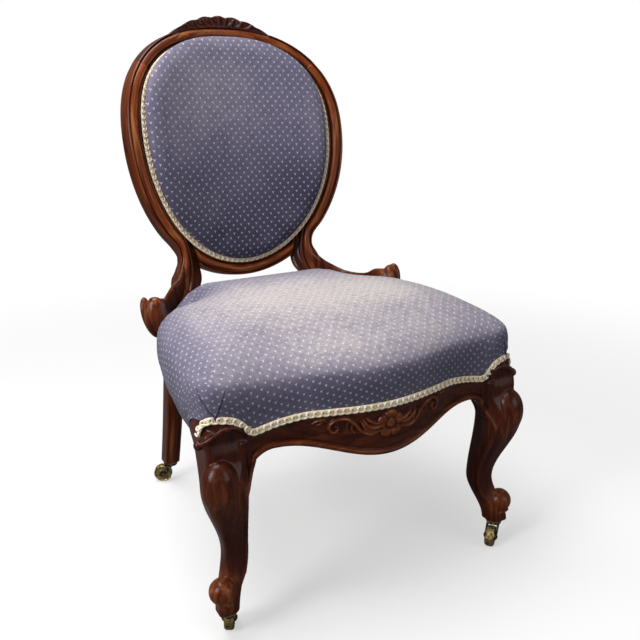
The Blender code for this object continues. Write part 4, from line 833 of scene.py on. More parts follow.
for word, sign in SIDES.items():
    moulded_piece("rear_upright_moulded_" + word, right_rings * (sign, 1, 1), "rear_upright_" + word,
                  upright_wear * (1.0 if sign < 0 else RIGHT_HIGHLIGHT_SHARE))


# Hip scrolls: wings of mahogany glued to the uprights. The stile's edge sweeps down and forward in a hollow
# curve along a thin wing beside the seat's rear corner, which ends in a small drum of two beads.

HIP_END_Y = 0.072
HIP_DRUM_TAPER = 0.020
HIP_DRUM_LENGTH = 0.037
HIP_DRUM_HALF_HEIGHT = 0.037
HIP_DRUM_HALF_DEPTH = 0.017
HIP_DRUM_TOP_Z = 0.446
# Top edge of the wing away from the seat, from the stile to the drum, and its edge against the seat
wing_outer = curve([
    (0.1430, 0.2500, 0.520), (0.1435, 0.2440, 0.490), (0.1470, 0.2320, 0.463), (0.1595, 0.2140, 0.444),
    (0.1785, 0.1965, 0.431), (0.1930, 0.1790, 0.4225), (0.2060, 0.1560, 0.4205), (0.2160, 0.1330, 0.4240),
    (0.2240, 0.1120, 0.4350), (0.2310, 0.0930, 0.4390),
], 5)
wing_inner = curve([
    (0.1300, 0.2440), (0.1315, 0.2360), (0.1370, 0.2220), (0.1500, 0.2030), (0.1675, 0.1930),
    (0.1835, 0.1765), (0.1980, 0.1510), (0.2085, 0.1270), (0.2150, 0.1100), (0.2225, 0.0900),
], 5)
# Share of the way from the inner to the outer edge, and share of the height, round the wing's section
WING_SECTION = [
    (0.0, 0.0), (0.0, 0.35), (0.0, 0.70), (0.02, 0.93), (0.22, 0.985), (0.5, 1.0), (0.80, 0.985),
    (1.0, 0.93), (1.06, 0.70), (1.08, 0.35), (0.90, 0.0),
]
wing_rings = []
for share, outer, inner in zip(np.linspace(0, 1, len(wing_outer)), wing_outer, wing_inner):
    low = HIP_BOTTOM_Z + 0.045 * float(ease((share - 0.5) / 0.5))
    ring = []
    for across, rise in WING_SECTION:
        flat = inner + (outer[:2] - inner) * across
        ring.append((flat[0], flat[1] + DATUM_Y, low + (outer[2] - low) * rise))
    wing_rings.append(ring)
hip_end = int(np.argmin(np.abs(PLAN[:180, 1] - HIP_END_Y)))
forward = np.append(PLAN[hip_end - 1] - PLAN[hip_end + 1], 0)
forward /= np.linalg.norm(forward)
outward = np.append(-PLAN_IN[hip_end], 0)
upward = np.array([0, 0, 1.0])
drum_middle = np.append(PLAN[hip_end] + (0, DATUM_Y), HIP_DRUM_TOP_Z - HIP_DRUM_HALF_HEIGHT)
drum_middle = drum_middle - forward * HIP_DRUM_HALF_DEPTH * 0.7 - outward * 0.006
# Share of the drum's length from the seat outwards, and share of its size
drum_beads = np.concatenate([
    moulding_bead(0.33, 0.31, 1.0, 0.78, 17), moulding_bead(0.84, 0.16, 0.98, 0.72, 11),
])
turn = np.linspace(0, 2 * pi, 40, endpoint=False)[:, None]
drum_round = np.cos(turn) * HIP_DRUM_HALF_DEPTH * forward + np.sin(turn) * HIP_DRUM_HALF_HEIGHT * upward
drum_rings = []
for length, size in drum_beads:
    ring = drum_middle + outward * length * HIP_DRUM_LENGTH + size * drum_round
    sunk = np.clip((HIP_DRUM_TOP_Z - ring[:, 2:]) / (2 * HIP_DRUM_HALF_HEIGHT), 0, 1)
    drum_rings.append(ring - outward * HIP_DRUM_TAPER * sunk ** 2)
hip_points, hip_faces = carved_block("hip_block", [skin(wing_rings), skin(drum_rings)], 4)
on_drum = np.clip((hip_points[:, 2] - 0.395) / 0.04, 0, 1)
hip_wear = 0.12 + 0.22 * on_drum * np.clip((0.08 - hip_points[:, 1]) / 0.04, 0, 1)
carved_pair("hip_scroll_carved_", "hip_scroll_", hip_points, hip_faces, hip_wear)


# Webbing: six jute straps, drawn tight, woven over and under each other and tacked below the rails.
# They carry the springs.

WEB_WIDTH = 0.050
WEB_THICKNESS = 0.0022
WEB_MIDDLE_Z = 0.29535
WEB_LIFT = 0.00125
WEB_STEP = 0.004


def woven_jute(name, pitch, light, dark):
    """Jute: coarse brown-gold yarns over and under each other, hairy and quite without shine."""
    made, tree, shader = start_material(name)
    place = add(tree, "TexCoord", give="Object")
    yarns = {"Vector": place, "Scale": 1 / (pitch * 20), "Distortion": 0.6}
    yarns.update({"Detail": 1.0, "Detail Scale": 3.0})
    across = add(tree, "TexWave", yarns, give="Fac", bands_direction="X")
    along = add(tree, "TexWave", yarns, give="Fac", bands_direction="Y")
    woven = add(tree, "Math", [across, along], operation="MULTIPLY")
    hair_size = 0.00111
    hairs = add(tree, "TexNoise", {"Vector": place, "Scale": 1 / hair_size, "Detail": 3.0}, give="Fac")
    hairy = add(tree, "Math", [woven, hairs], operation="ADD")
    tint = add(tree, "ValToRGB", {"Fac": hairy}, [(0.35, dark), (0.95, light)])
    bump = add(tree, "Bump", {"Height": hairy, "Strength": 0.6, "Distance": 0.0006})
    connect(tree, shader, {"Base Color": tint, "Normal": bump, "Roughness": 0.95})
    return made


# Yarns are about 1 mm apart; they are drawn at 1.6 mm so that they show.
JUTE_WEB = woven_jute("jute_webbing", 0.0016, "#b08d5a", "#5d4426")
web_x = {"left": -0.090, "middle": 0.0, "right": 0.090}
web_y = {word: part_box("web_cross_" + word)[0].y + 0.5 * WEB_WIDTH for word in ("front", "middle", "rear")}


def strap(start, end, crossings, lifts):
    """Ring by ring along a strap that starts and ends under a rail: distance along it, and its height."""
    tacked = 0.035
    at = np.arange(start, end + 0.5 * WEB_STEP, WEB_STEP)
    knots = [start, start + tacked] + list(crossings) + [end - tacked, end]
    heights = [WEB_LIFT] * 2 + list(lifts) + [WEB_LIFT] * 2
    lift = np.zeros_like(at)
    for a, b, low, high in zip(knots, knots[1:], heights, heights[1:]):
        inside = (at >= a) & (at <= b)
        lift[inside] = low + (high - low) * ease((at[inside] - a) / (b - a))
    return at, WEB_MIDDLE_Z + lift


u = np.linspace(-0.5, 0.5, 13)
section_side = np.concatenate([u, u[::-1]]) * WEB_WIDTH
thinner_edges = np.concatenate([[0.6], np.ones(len(u) - 2), [0.6]])
section_up = np.concatenate([0.5 * WEB_THICKNESS * thinner_edges, -0.5 * WEB_THICKNESS * thinner_edges])
for way, axis, places, crossings in (("long", 1, web_x, web_y), ("cross", 0, web_y, web_x)):
    for row, (word, place) in enumerate(places.items()):
        low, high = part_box("web_" + way + "_" + word)
        lifts = [-WEB_LIFT if (row + k + axis) % 2 else WEB_LIFT for k in range(len(crossings))]
        at, z = strap(low[axis] + 0.001, high[axis] - 0.001, crossings.values(), lifts)
        rings = np.empty((len(at), len(section_up), 3))
        rings[:, :, axis] = at[:, None]
        rings[:, :, 1 - axis] = place + section_side
        rings[:, :, 2] = z[:, None] + section_up
        web = piece("web_" + way + "_woven_" + word, *skin(rings), JUTE_WEB)
        fit(web, "frame", "jute", "web_" + way + "_" + word)


# Springs: five hourglass coils of steel wire, wound cold and oiled. Twine sews them to the webs below and to
# the hessian above.

SPRING_RADIUS = 0.034
SPRING_WAIST = 0.021
SPRING_WIRE = 0.0017
SPRING_TURNS = 4.5
# Oiled steel wire: a dull grey that shines a little along the coils
steel, tree, shader = start_material("oiled_steel_wire")
connect(tree, shader, {"Metallic": 1.0, "Roughness": 0.42, "Base Color": colour("#77716a")})
for word in ("front_left", "front_right", "rear_left", "rear_right", "middle"):
    low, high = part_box("spring_" + word)
    t = np.linspace(0, 1, 260)
    turn = 2 * pi * SPRING_TURNS * t
    wide = SPRING_WAIST + (SPRING_RADIUS - SPRING_WAIST) * np.abs(2 * t - 1) ** 1.5
    middle_y = web_y[word.split("_")[0]]
    middle_x = web_x[word.split("_")[-1]]
    rise = low.z + SPRING_WIRE + (high.z - low.z - 2 * SPRING_WIRE) * t
    coil = np.column_stack([middle_x + wide * np.cos(turn), middle_y + wide * np.sin(turn), rise])
    spring = piece("spring_coil_" + word, *tube(coil, [SPRING_WIRE]), steel)
    fit(spring, "frame", "spring_steel", "spring_" + word)


# Hessian: one sheet of coarse jute cloth, plainly woven. It is drawn over the springs and tacked to the top of
# the rails.

HESSIAN_THICKNESS = 0.0012
SEAT_MIDDLE = np.array([0.0, 0.5 * (SEAT_FRONT_Y + SEAT_REAR_Y)])
low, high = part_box("seat_hessian")
hessian_inset = SEAT_HALF_FRONT - high.x
HESSIAN = woven_jute("hessian", 0.0020, "#a98a5f", "#57412a")
rings = []
hessian_scales = [1.0, 0.97, 0.93, 0.88, 0.82, 0.75, 0.66, 0.5, 0.3, 0.1]
edge = PLAN + PLAN_IN * hessian_inset
for side, scales in ((HESSIAN_THICKNESS, hessian_scales[::-1]), (0.0, hessian_scales)):
    for scale in scales:
        flat = SEAT_MIDDLE + (edge - SEAT_MIDDLE) * scale + (0, DATUM_Y)
        rise = float(ease((0.97 - scale) / 0.33))
        height = low.z + rise * (high.z - low.z - HESSIAN_THICKNESS) + side
        rings.append(np.column_stack([flat, np.full(len(flat), height)]))
hessian = piece("seat_hessian_cloth", *skin(rings), HESSIAN)
fit(hessian, "frame", "jute", "seat_hessian")


# Seat: horsehair stuffing under a cover of dotted furnishing cloth, drawn down over the roll at the front and
# sides and folded into pleats at the front corners. Years of use have faded its top.

DOT_ACROSS = 0.0163
DOT_DOWN = 0.0168


def dotted_cloth(name):
    """Furnishing cloth: blue-violet ground with small pale three-pointed sprigs woven in a half-drop lattice.
    Sun and wear turn it to a greyish lavender, and painted shade darkens the back cushion towards its foot; the
    fine ribs keep it matt with a faint bloom."""
    made, tree, shader = start_material(name)
    place = add(tree, "UVMap", uv_map="weave")
    fade_and_shade = add(tree, "Attribute", give="Fac", attribute_name="fade_and_shade")
    worn_place = add(tree, "TexCoord", give="Object")
    # Along these two slanting directions the sprigs stand one unit apart
    slants = [(1 / DOT_ACROSS, 1 / DOT_DOWN, 0), (1 / DOT_ACROSS, -1 / DOT_DOWN, 0)]
    slants = [add(tree, "VectorMath", [place, slant], operation="DOT_PRODUCT") for slant in slants]
    cell = add(tree, "CombineXYZ", slants + [0.5])
    cell = add(tree, "VectorMath", [cell, (0.5, 0.5, 0.0)], operation="ADD")
    cell = add(tree, "VectorMath", [cell], operation="FRACTION")
    cell = add(tree, "VectorMath", [cell, (0.5, 0.5, 0.5)], operation="SUBTRACT")
    # Distances in the sprig are in millimetres: a short stalk, and two petals that open to the sides
    ways = [(500 * DOT_ACROSS, 500 * DOT_ACROSS, 0), (500 * DOT_DOWN, -500 * DOT_DOWN, 0)]
    side, up = [add(tree, "VectorMath", [cell, way], operation="DOT_PRODUCT") for way in ways]
    spot = add(tree, "CombineXYZ", [add(tree, "Math", [side], operation="ABSOLUTE"), up, 0.0])
    petal = add(tree, "VectorMath", [spot, (0.95, 0.95, 0)], operation="SUBTRACT")
    ways = [(0.81, -0.59, 0), (0.59, 0.81, 0)]
    ways = [add(tree, "VectorMath", [petal, way], operation="DOT_PRODUCT") for way in ways]
    petal = add(tree, "CombineXYZ", ways + [0.0])
    stalk = add(tree, "VectorMath", [spot, (0, -1.0, 0)], operation="SUBTRACT")
    lobes = []
    for lobe, length in ((petal, 1.50), (stalk, 1.35)):
        lobe = add(tree, "VectorMath", [lobe, (1 / 0.62, 1 / length, 1)], operation="MULTIPLY")
        lobes.append(add(tree, "VectorMath", [lobe], operation="LENGTH"))
    sprig = add(tree, "MapRange", [add(tree, "Math", lobes, operation="MINIMUM"), 0.75, 1.15, 1.0, 0.0])
    # Threads are about 0.3 mm apart; they are drawn at 0.9 mm so that they show.
    turns = 2 * pi / 0.0009
    thread = add(tree, "VectorMath", [place, (turns, turns, 0)], operation="MULTIPLY")
    split = add(tree, "SeparateXYZ", [thread]).node.outputs
    ribs = [add(tree, "Math", [split[axis]], operation="SINE") for axis in "XY"]
    thread = add(tree, "Math", ribs, operation="MULTIPLY")
    # Size, detail and roughness of the worn patches, the flecks and the slubs, and the range of each
    clouds = [
        (0.111, 5.0, 0.6, -0.09, 0.09), (0.00833, 4.0, 0.7, 0.78, 1.22), (0.00238, 2.0, 0.5, 0.88, 1.10),
    ]
    uneven = []
    for size, detail, rough, low, high in clouds:
        cloud = {"Vector": worn_place, "Scale": 1 / size, "Detail": detail, "Roughness": rough}
        uneven.append(add(tree, "MapRange", [add(tree, "TexNoise", cloud, give="Fac"), 0.3, 0.7, low, high]))
    patch, fleck, slub = uneven
    # These values hold real fading, and on the back cushion also painted shade that darkens its lower part.
    faded_and_shaded = add(tree, "Math", [fade_and_shade, patch], operation="ADD")
    faded_and_shaded = add(tree, "Math", [faded_and_shaded, fleck], operation="MULTIPLY", use_clamp=True)
    ground = add(tree, "ValToRGB", {"Fac": faded_and_shaded},
                 [(0.0, "#282741"), (0.30, "#646079"), (0.65, "#928b99"), (1.0, "#c0b7b5")])
    sprigs = add(tree, "ValToRGB", {"Fac": faded_and_shaded}, [(0.0, "#bdb9c6"), (0.6, "#d6d0d2"), (1.0, "#e8e0db")])
    cloth = add(tree, "Mix", {"Factor": sprig, "A": ground, "B": sprigs}, data_type="RGBA")
    cloth = add(tree, "Mix", {"Factor": 1.0, "A": cloth, "B": slub}, data_type="RGBA", blend_type="MULTIPLY")
    relief = add(tree, "Math", [sprig, thread], operation="ADD")
    bump = add(tree, "Bump", {"Height": relief, "Strength": 0.35, "Distance": 0.0003})
    connect(tree, shader, {
        "Base Color": cloth, "Normal": bump, "Roughness": 0.9, "Sheen Weight": 0.12, "Sheen Roughness": 0.5,
    })
    return made


CLOTH = dotted_cloth("dotted_furnishing_cloth")


def drawn_tight(rings, held_rows, pressure, cap):
    """Rings of a cover blown up from inside as its stuffing does, its first rows held and each point moved
    no further than its cap."""
    rings = np.array(rings)
    trial = piece("cover_trial", *skin(rings), CLOTH)
    group = trial.vertex_groups.new(name="held")
    group.add(list(range(held_rows * rings.shape[1])), 1.0, "REPLACE")
    cloth = trial.modifiers.new("stuffing", "CLOTH")
    settings = cloth.settings
    settings.quality = 6
    settings.mass = 0.25
    settings.tension_stiffness = settings.compression_stiffness = 12
    settings.shear_stiffness = 8
    settings.bending_stiffness = 1.5
    settings.vertex_group_mass = "held"
    settings.use_pressure = True
    settings.uniform_pressure_force = pressure
    settings.effector_weights.gravity = 0
    scene = bpy.context.scene
    for number in range(1, 21):
        scene.frame_set(number)
    blown = trial.evaluated_get(bpy.context.evaluated_depsgraph_get()).to_mesh()
    move = read_points(blown).reshape(rings.shape) - rings
    for smoothing in range(30):
        move[1:-1] = 0.25 * (move[:-2] + move[2:] + np.roll(move, 1, 1)[1:-1] + np.roll(move, -1, 1)[1:-1])
    length = np.linalg.norm(move, axis=2)
    bpy.data.objects.remove(trial)
    scene.frame_set(1)
    return rings + move * (np.minimum(length, cap) / np.maximum(length, 1e-9))[:, :, None]


def finer(rings):
    """The same surface with twice the rings and twice the points round each, all on smooth curves."""
    rings = np.array(rings)
    between = (9 * (rings + np.roll(rings, -1, 1)) - np.roll(rings, 1, 1) - np.roll(rings, -2, 1)) / 16
    rings = np.stack([rings, between], 2).reshape(len(rings), -1, 3)
    middle = 0.5 * (rings[:-1] + rings[1:])
    middle[1:-1] = (9 * (rings[1:-2] + rings[2:-1]) - rings[:-3] - rings[3:]) / 16
    made = np.empty((2 * len(rings) - 1,) + rings.shape[1:])
    made[0::2], made[1::2] = rings, middle
    return made


def lay_weave(made, corner_place):
    """Lay the cloth's own measure over a piece: for each face corner, its place in the flat cloth."""
    layer = made.data.uv_layers.new(name="weave")
    flat = []
    for face in made.data.polygons:
        flat += corner_place(face)
    layer.data.foreach_set("uv", np.array(flat, np.float32).ravel())


SEAT_EDGE_Z = 0.414
SEAT_REAR_LIFT = 0.016
SEAT_LEFT_FALL, SEAT_RIGHT_FALL = 0.026, 0.014
SEAT_CROWN = 0.028
SEAT_SETTLE = 0.004
ROLL_INSET = 0.030
ROLL_RISE = 0.010
SIDE_TUCK = 0.016
SIDE_SHARE = [0.0, 0.13, 0.36, 0.60, 0.82, 0.94]
SIDE_INSET = [0.0040, 0.0040, 0.0012, 0.0, 0.0039, 0.0120]
SEAT_TOP_SCALES = [0.82, 0.64, 0.46, 0.28, 0.12]
LEG_SIDE_Y = [LEG_OUTER_Y + 0.012, LEG_OUTER_Y + 0.030, LEG_OUTER_Y + 0.048, LEG_INNER_Y - 0.006,
              LEG_INNER_Y + 0.012]
LEG_SIDE_Z = [0.3455, 0.3470, 0.3430, 0.3300, RAIL_BOTTOM_Z]


def seat_edge(flat):
    """Height of the seat's edge from a place in its plan: it rises to the rear, and falls beside the hips."""
    x, y = np.abs(flat[:, 0]), flat[:, 1]
    lift = SEAT_REAR_LIFT * ease((y - SEAT_FRONT_Y) / (SEAT_REAR_Y - SEAT_FRONT_Y))
    fall = np.where(flat[:, 0] < 0, SEAT_LEFT_FALL, SEAT_RIGHT_FALL)
    return SEAT_EDGE_Z + lift - fall * ease((x - 0.112) / 0.070) * ease((y - 0.035) / 0.100)


def cover_edge(x, y):
    """Height of the cover's lower edge all round: over legs and carved rail, and else at the rails' foot."""
    front = gimp_line(x) + 0.001
    side = np.interp(y, LEG_SIDE_Y, LEG_SIDE_Z)
    return np.where(y < LEG_OUTER_Y + 0.008, front, side)


coarse_plan, coarse_in = PLAN[::2], PLAN_IN[::2]
around = len(coarse_plan)
low_z = cover_edge(coarse_plan[:, 0], coarse_plan[:, 1])
high_z = seat_edge(coarse_plan)
tuck = SIDE_TUCK * ease((coarse_plan[:, 1] - LEG_INNER_Y + 0.008) / 0.020)
tuck *= ease((SEAT_HIP_Y - coarse_plan[:, 1]) / 0.030)
rim = coarse_plan + coarse_in * ROLL_INSET


def seat_ring(inset, z):
    flat = coarse_plan + coarse_in * (inset + np.zeros(around))[:, None] + (0, DATUM_Y)
    return np.column_stack([flat, z + np.zeros(around)])


# Underside, from the middle out and down the inside of the cover
under_rings = []
for scale in (0.15, 0.5, 0.8):
    flat = SEAT_MIDDLE + (coarse_plan + coarse_in * 0.042 - SEAT_MIDDLE) * scale + (0, DATUM_Y)
    under_rings.append(np.column_stack([flat, np.full(around, 0.3878)]))
under_rings.append(seat_ring(0.030, 0.3545))
under_rings.append(seat_ring(COVER_TUCK + COVER_THICKNESS, 0.3535))
under_rings.append(seat_ring(COVER_TUCK + COVER_THICKNESS + tuck, np.minimum(low_z + 0.001, 0.3530)))
# Sides, roll and top; the top starts a little low, and the stuffing raises it
outer_rings = []
for share, inset in zip(SIDE_SHARE, SIDE_INSET):
    tucked = tuck * max(0, 1 - share / 0.45) ** 1.3
    outer_rings.append(seat_ring(inset + tucked, low_z + share * (high_z - low_z)))
outer_rings.append(np.column_stack([rim + (0, DATUM_Y), seat_edge(rim) + ROLL_RISE - SEAT_SETTLE]))
for scale in SEAT_TOP_SCALES:
    flat = SEAT_MIDDLE + (rim - SEAT_MIDDLE) * scale
    rise = seat_edge(flat) + ROLL_RISE + SEAT_CROWN * (1 - scale ** 3) - SEAT_SETTLE
    outer_rings.append(np.column_stack([flat + (0, DATUM_Y), rise]))
SEAT_STEPS = 4
seat_rings = np.concatenate([under_rings, flow(outer_rings, SEAT_STEPS)])
underside_rows = len(under_rings)
rim_row = underside_rows + SEAT_STEPS * len(SIDE_SHARE)
row = np.arange(len(seat_rings))[:, None]
by_back = np.clip((0.075 - (seat_rings[:, :, 1] - DATUM_Y)) / 0.05, 0, 1)
cap = 0.006 * np.clip((row - underside_rows - 4) / 16, 0, 1) * np.where(row > rim_row, 1.0, by_back)
seat = piece("seat_cushion", *skin(finer(drawn_tight(seat_rings, underside_rows + 1, 4.0, cap))), CLOTH)
# The weave is measured on the shape as it was before the stuffing, with twice its rows
flat_rings = finer(seat_rings)
flat_rim_row = 2 * rim_row
seat_run = distance_along(flat_rings)
facing_side = np.abs(PLAN_IN[:, 0]) > 0.72
# Distance along the outline from the front centre, and along each side from where it runs straight
outline_run = distance_along(PLAN)
outline_run[181:] -= outline_run[-1] + np.linalg.norm(PLAN[-1] - PLAN[0])
straight = int(np.argmin(np.abs(PLAN[:180, 1] + 0.10)))
side_run = np.abs(outline_run) - outline_run[straight] + PLAN[straight, 1]


def seat_weave(face):
    """Flat cloth of the seat: seen from above on the top, and carried on straight down over front, sides and
    rear, where it is measured along the outline."""
    places = [divmod(i, len(PLAN)) for i in face.vertices]
    sideways = facing_side[sorted(station for row, station in places)[len(places) // 2]]
    made = []
    for row, station in places:
        x, y = flat_rings[max(row, flat_rim_row), station, :2]
        down = max(0.0, seat_run[flat_rim_row] - seat_run[row])
        spread_out = float(ease(down / 0.05))
        nx, ny = np.sign(PLAN_IN[station])
        if sideways:
            made.append((x - nx * down, y + (side_run[station] + DATUM_Y - y) * spread_out))
        elif ny > 0:
            made.append((x + (outline_run[station] - x) * spread_out, y - down))
        else:
            made.append((x, y + down))
    slope = radians(-6)
    return [(u * cos(slope) - v * sin(slope), u * sin(slope) + v * cos(slope)) for u, v in made]


lay_weave(seat, seat_weave)

# Pleats, puckers and fading, on the finished shape
shape, normal = read_points(seat.data), read_points(seat.data, "normal")
x, y, z = shape[:, 0], shape[:, 1] - DATUM_Y, shape[:, 2]
off_middle = np.hypot(x / 0.25, (y + 0.044) / 0.2) > 0.9
outside = (normal[:, 2] > -0.35) & (z > RAIL_BOTTOM_Z + 0.002) & off_middle
corner_turn = np.degrees(np.arctan2(-normal[:, 1], np.abs(normal[:, 0])))
PLEAT_FOOT_Z = 0.343
push = np.zeros(len(shape))
for turn_low, turn_high, top, width, depth in ((52, 72, 0.392, 7.0, 0.0020), (52, 34, 0.384, 7.0, 0.0018)):
    along = np.clip((z - PLEAT_FOOT_Z) / (top - PLEAT_FOOT_Z), 0, 1.2)
    line_turn = turn_low + (turn_high - turn_low) * along
    off = (corner_turn - line_turn) / width
    fold = np.clip(1 - along, 0, 1) ** 0.6
    push += depth * fold * (0.8 * np.exp(-((off - 1.0) / 1.1) ** 2) - 1.3 * np.exp(-(off / 0.45) ** 2))
front_face = np.clip((-normal[:, 1] - 0.3) / 0.4, 0, 1)
pucker = np.sin(x * 2 * pi / 0.031 + 1.7 * np.sin(x * 41)) * np.exp(-((z - gimp_line(x)) / 0.018) ** 2)
push += 0.0007 * pucker * front_face
shape += normal * (push * outside)[:, None]
seat.data.vertices.foreach_set("co", shape.astype(np.float32).ravel())
x, y, z = shape[:, 0], shape[:, 1] - DATUM_Y, shape[:, 2]
sunned = (0.45 + 0.55 * ease((0.135 - y) / 0.17)) * (1 - 0.30 * ease((x - 0.10) / 0.15))
sunned *= 1 - 0.30 * ease((-0.08 - y) / 0.12)
sunned *= 1 - 0.60 * ease((-normal[:, 0] - 0.15) / 0.5)
sunned *= 1 - 0.34 * ease((-0.08 - x) / 0.11)
corner = ease((-x - 0.10) / 0.14) * ease((-0.10 - y) / 0.12)
worn = 0.55 * ease((normal[:, 2] - 0.10 + 0.22 * corner) / 0.88) + 0.45 * ease((z - 0.374) / 0.060)
fade_and_shade = 0.25 + 0.75 * worn * sunned
fade_and_shade *= np.where(normal[:, 2] < -0.3, 0.6, 1.0)
keep_values(seat.data, "fade_and_shade", fade_and_shade)
seat.data.shade_smooth()
# Folded edges of the two pleats at each front corner, which meet at the gimp
seat_faces = [list(face.vertices) for face in seat.data.polygons]
surface = BVHTree.FromPolygons([tuple(p) for p in shape], seat_faces)
PLEAT_FOOT = np.array([0.262, -0.2395, 0.352])
PLEAT_HEADS = {"side": (0.280, -0.212, 0.398), "front": (0.246, -0.246, 0.396)}
PLEAT_RADII = [0.0011, 0.0010, 0.0006, 0.0002]
for word, sign in SIDES.items():
    for way, head in PLEAT_HEADS.items():
        fold = []
        for t in np.linspace(0, 1, 24):
            x, y, z = PLEAT_FOOT + (np.array(head) - PLEAT_FOOT) * t
            place, facing = surface.find_nearest((sign * x, y + DATUM_Y, z))[:2]
            fold.append(np.array(place) + np.array(facing) * 0.0002)
        pleat = piece("seat_pleat_" + way + "_" + word, *tube(fold, PLEAT_RADII, 8), CLOTH)
        pleat.data.attributes.new("fade_and_shade", "FLOAT", "POINT")
        lay_weave(pleat, lambda face: [(0.25 * DOT_ACROSS, 0.0)] * len(face.vertices))
        fit(pleat, "frame", "dotted_fabric")
fit(seat, "frame", "dotted_fabric", "seat_cover", "seat_stuffing")


# Gimp: a woven braid of cream cotton cords, looped over a flat tape and glued over the tacks along the
# cover's lower edge at the front.

GIMP_WIDTH = 0.0112
GIMP_REPEAT = 0.0108
GIMP_LOOP = 0.0047
GIMP_CORD = 0.0016
GIMP_POINTS = 22


def gimp_cotton(name):
    """Cotton braid: warm cream cords with a twist, and painted shade that turns them brown between the cords.
    """
    made, tree, shader = start_material(name)
    place = add(tree, "Attribute", give="Vector", attribute_name="grain")
    cords = {"Vector": place, "Scale": 1 / (0.0013 * 20), "Distortion": 0.4}
    twist = add(tree, "TexWave", cords, give="Fac", bands_direction="DIAGONAL")
    dusty_place = add(tree, "TexCoord", give="Object")
    dust_size = 0.0143
    dust = add(tree, "TexNoise", {"Vector": dusty_place, "Scale": 1 / dust_size, "Detail": 3.0}, give="Fac")
    # Painted shade: ambient occlusion darkens the cords to dark brown in the gaps between them and where they
    # lie close to the cover.
    depth = add(tree, "AmbientOcclusion", {"Distance": 0.0025}, give="AO", samples=8)
    mixed = add(tree, "Math", [twist, 0.20], operation="MULTIPLY")
    mixed = add(tree, "Math", [mixed, dust], operation="ADD")
    clean = add(tree, "ValToRGB", {"Fac": mixed}, [(0.30, "#ecd7ae"), (0.60, "#fff1d4"), (0.9, "#fffaf0")])
    painted_gap_shade = add(tree, "MapRange", [depth, 0.05, 0.42, 0.70, 0.0])
    tint = add(tree, "Mix", {"Factor": painted_gap_shade, "A": clean, "B": colour("#3a2818")}, data_type="RGBA")
    bump = add(tree, "Bump", {"Height": twist, "Strength": 0.5, "Distance": 0.0003})
    connect(tree, shader, {"Base Color": tint, "Normal": bump, "Roughness": 0.85})
    return made


GIMP = gimp_cotton("gimp_cotton")


def braid(name, line, outward, loop):
    """Gimp along a line that lies on the cover, from the directions that point out of the cover."""
    line, outward = np.array(line), np.array(outward)
    if loop:
        line = np.concatenate([line, line[:1]])
        outward = np.concatenate([outward, outward[:1]])
    run = distance_along(line)
    length = run[-1]
    repeats = round(length / GIMP_REPEAT)

    def at(distance):
        distance = np.mod(distance, length) if loop else np.clip(distance, 0, length)
        facing = interpolate(distance, run, outward)
        return interpolate(distance, run, line), facing / np.linalg.norm(facing, axis=1)[:, None]

    def lift(distance, across, up):
        place, facing = at(distance)
        along = at(distance + 0.002)[0] - at(distance - 0.002)[0]
        side = np.cross(facing, along / np.maximum(np.linalg.norm(along, axis=1), 1e-9)[:, None])
        return place + side * np.reshape(across, (-1, 1)) + facing * np.reshape(up, (-1, 1))

    steps = np.linspace(0, length, repeats * 4, endpoint=not loop)
    section = [(-0.46, 0.0), (-0.46, 0.0009), (-0.2, 0.0013), (0.2, 0.0013), (0.46, 0.0009), (0.46, 0.0)]
    tape = np.stack([lift(steps, across * GIMP_WIDTH, up) for across, up in section], 1)
    turn = np.linspace(0, 2 * pi * repeats, repeats * GIMP_POINTS, endpoint=not loop)
    forward = turn / (2 * pi) * length / repeats - GIMP_LOOP * np.sin(turn)
    across = (0.5 * GIMP_WIDTH - GIMP_CORD) * np.cos(turn)
    cord, cord_faces = tube(lift(forward, across, 0.0024 + 0.0010 * np.sin(turn + 0.5)), [GIMP_CORD], 8)
    points, faces = merge([skin(tape, loop), (cord, cord_faces[:-2] if loop else cord_faces)])
    grain = np.concatenate([run_along(tape), run_along(cord.reshape(-1, 8, 3))])
    return piece(name, points, faces, GIMP, {"grain": grain})


gimp_run = np.arange(-108, 109)
gimp_run = gimp_run[PLAN[gimp_run, 1] < LEG_OUTER_Y + 0.014]
gimp_in = PLAN_IN[gimp_run]
flat = PLAN[gimp_run] + gimp_in * (COVER_TUCK - 0.0004) + (0, DATUM_Y)
gimp_path = np.column_stack([flat, cover_edge(*PLAN[gimp_run].T) + 0.0050])
gimp_out = np.column_stack([-gimp_in, np.zeros(len(gimp_in))])
# Each end turns down on the side of the leg
tail = np.array([(0.2797, 0.0185, 0.3450), (0.2797, 0.0205, 0.3370), (0.2795, 0.0215, 0.3280)])
tail += (0, LEG_OUTER_Y + DATUM_Y, 0)
gimp_path = np.concatenate([tail[::-1] * (-1, 1, 1), gimp_path, tail])
gimp_out = np.concatenate([[(-1, 0, 0)] * len(tail), gimp_out, [(1, 0, 0)] * len(tail)])
for smoothing in range(3):
    gimp_path[1:-1] = 0.25 * gimp_path[:-2] + 0.5 * gimp_path[1:-1] + 0.25 * gimp_path[2:]
seat_gimp = braid("seat_gimp_braid", gimp_path, gimp_out, False)
fit(seat_gimp, "frame", "gimp_braid", "seat_gimp")


# Back: hessian across the opening, horsehair pad and dotted cloth in front, a flat outside cover behind, and
# gimp round both edges. All are tacked to the rebate of the frame.

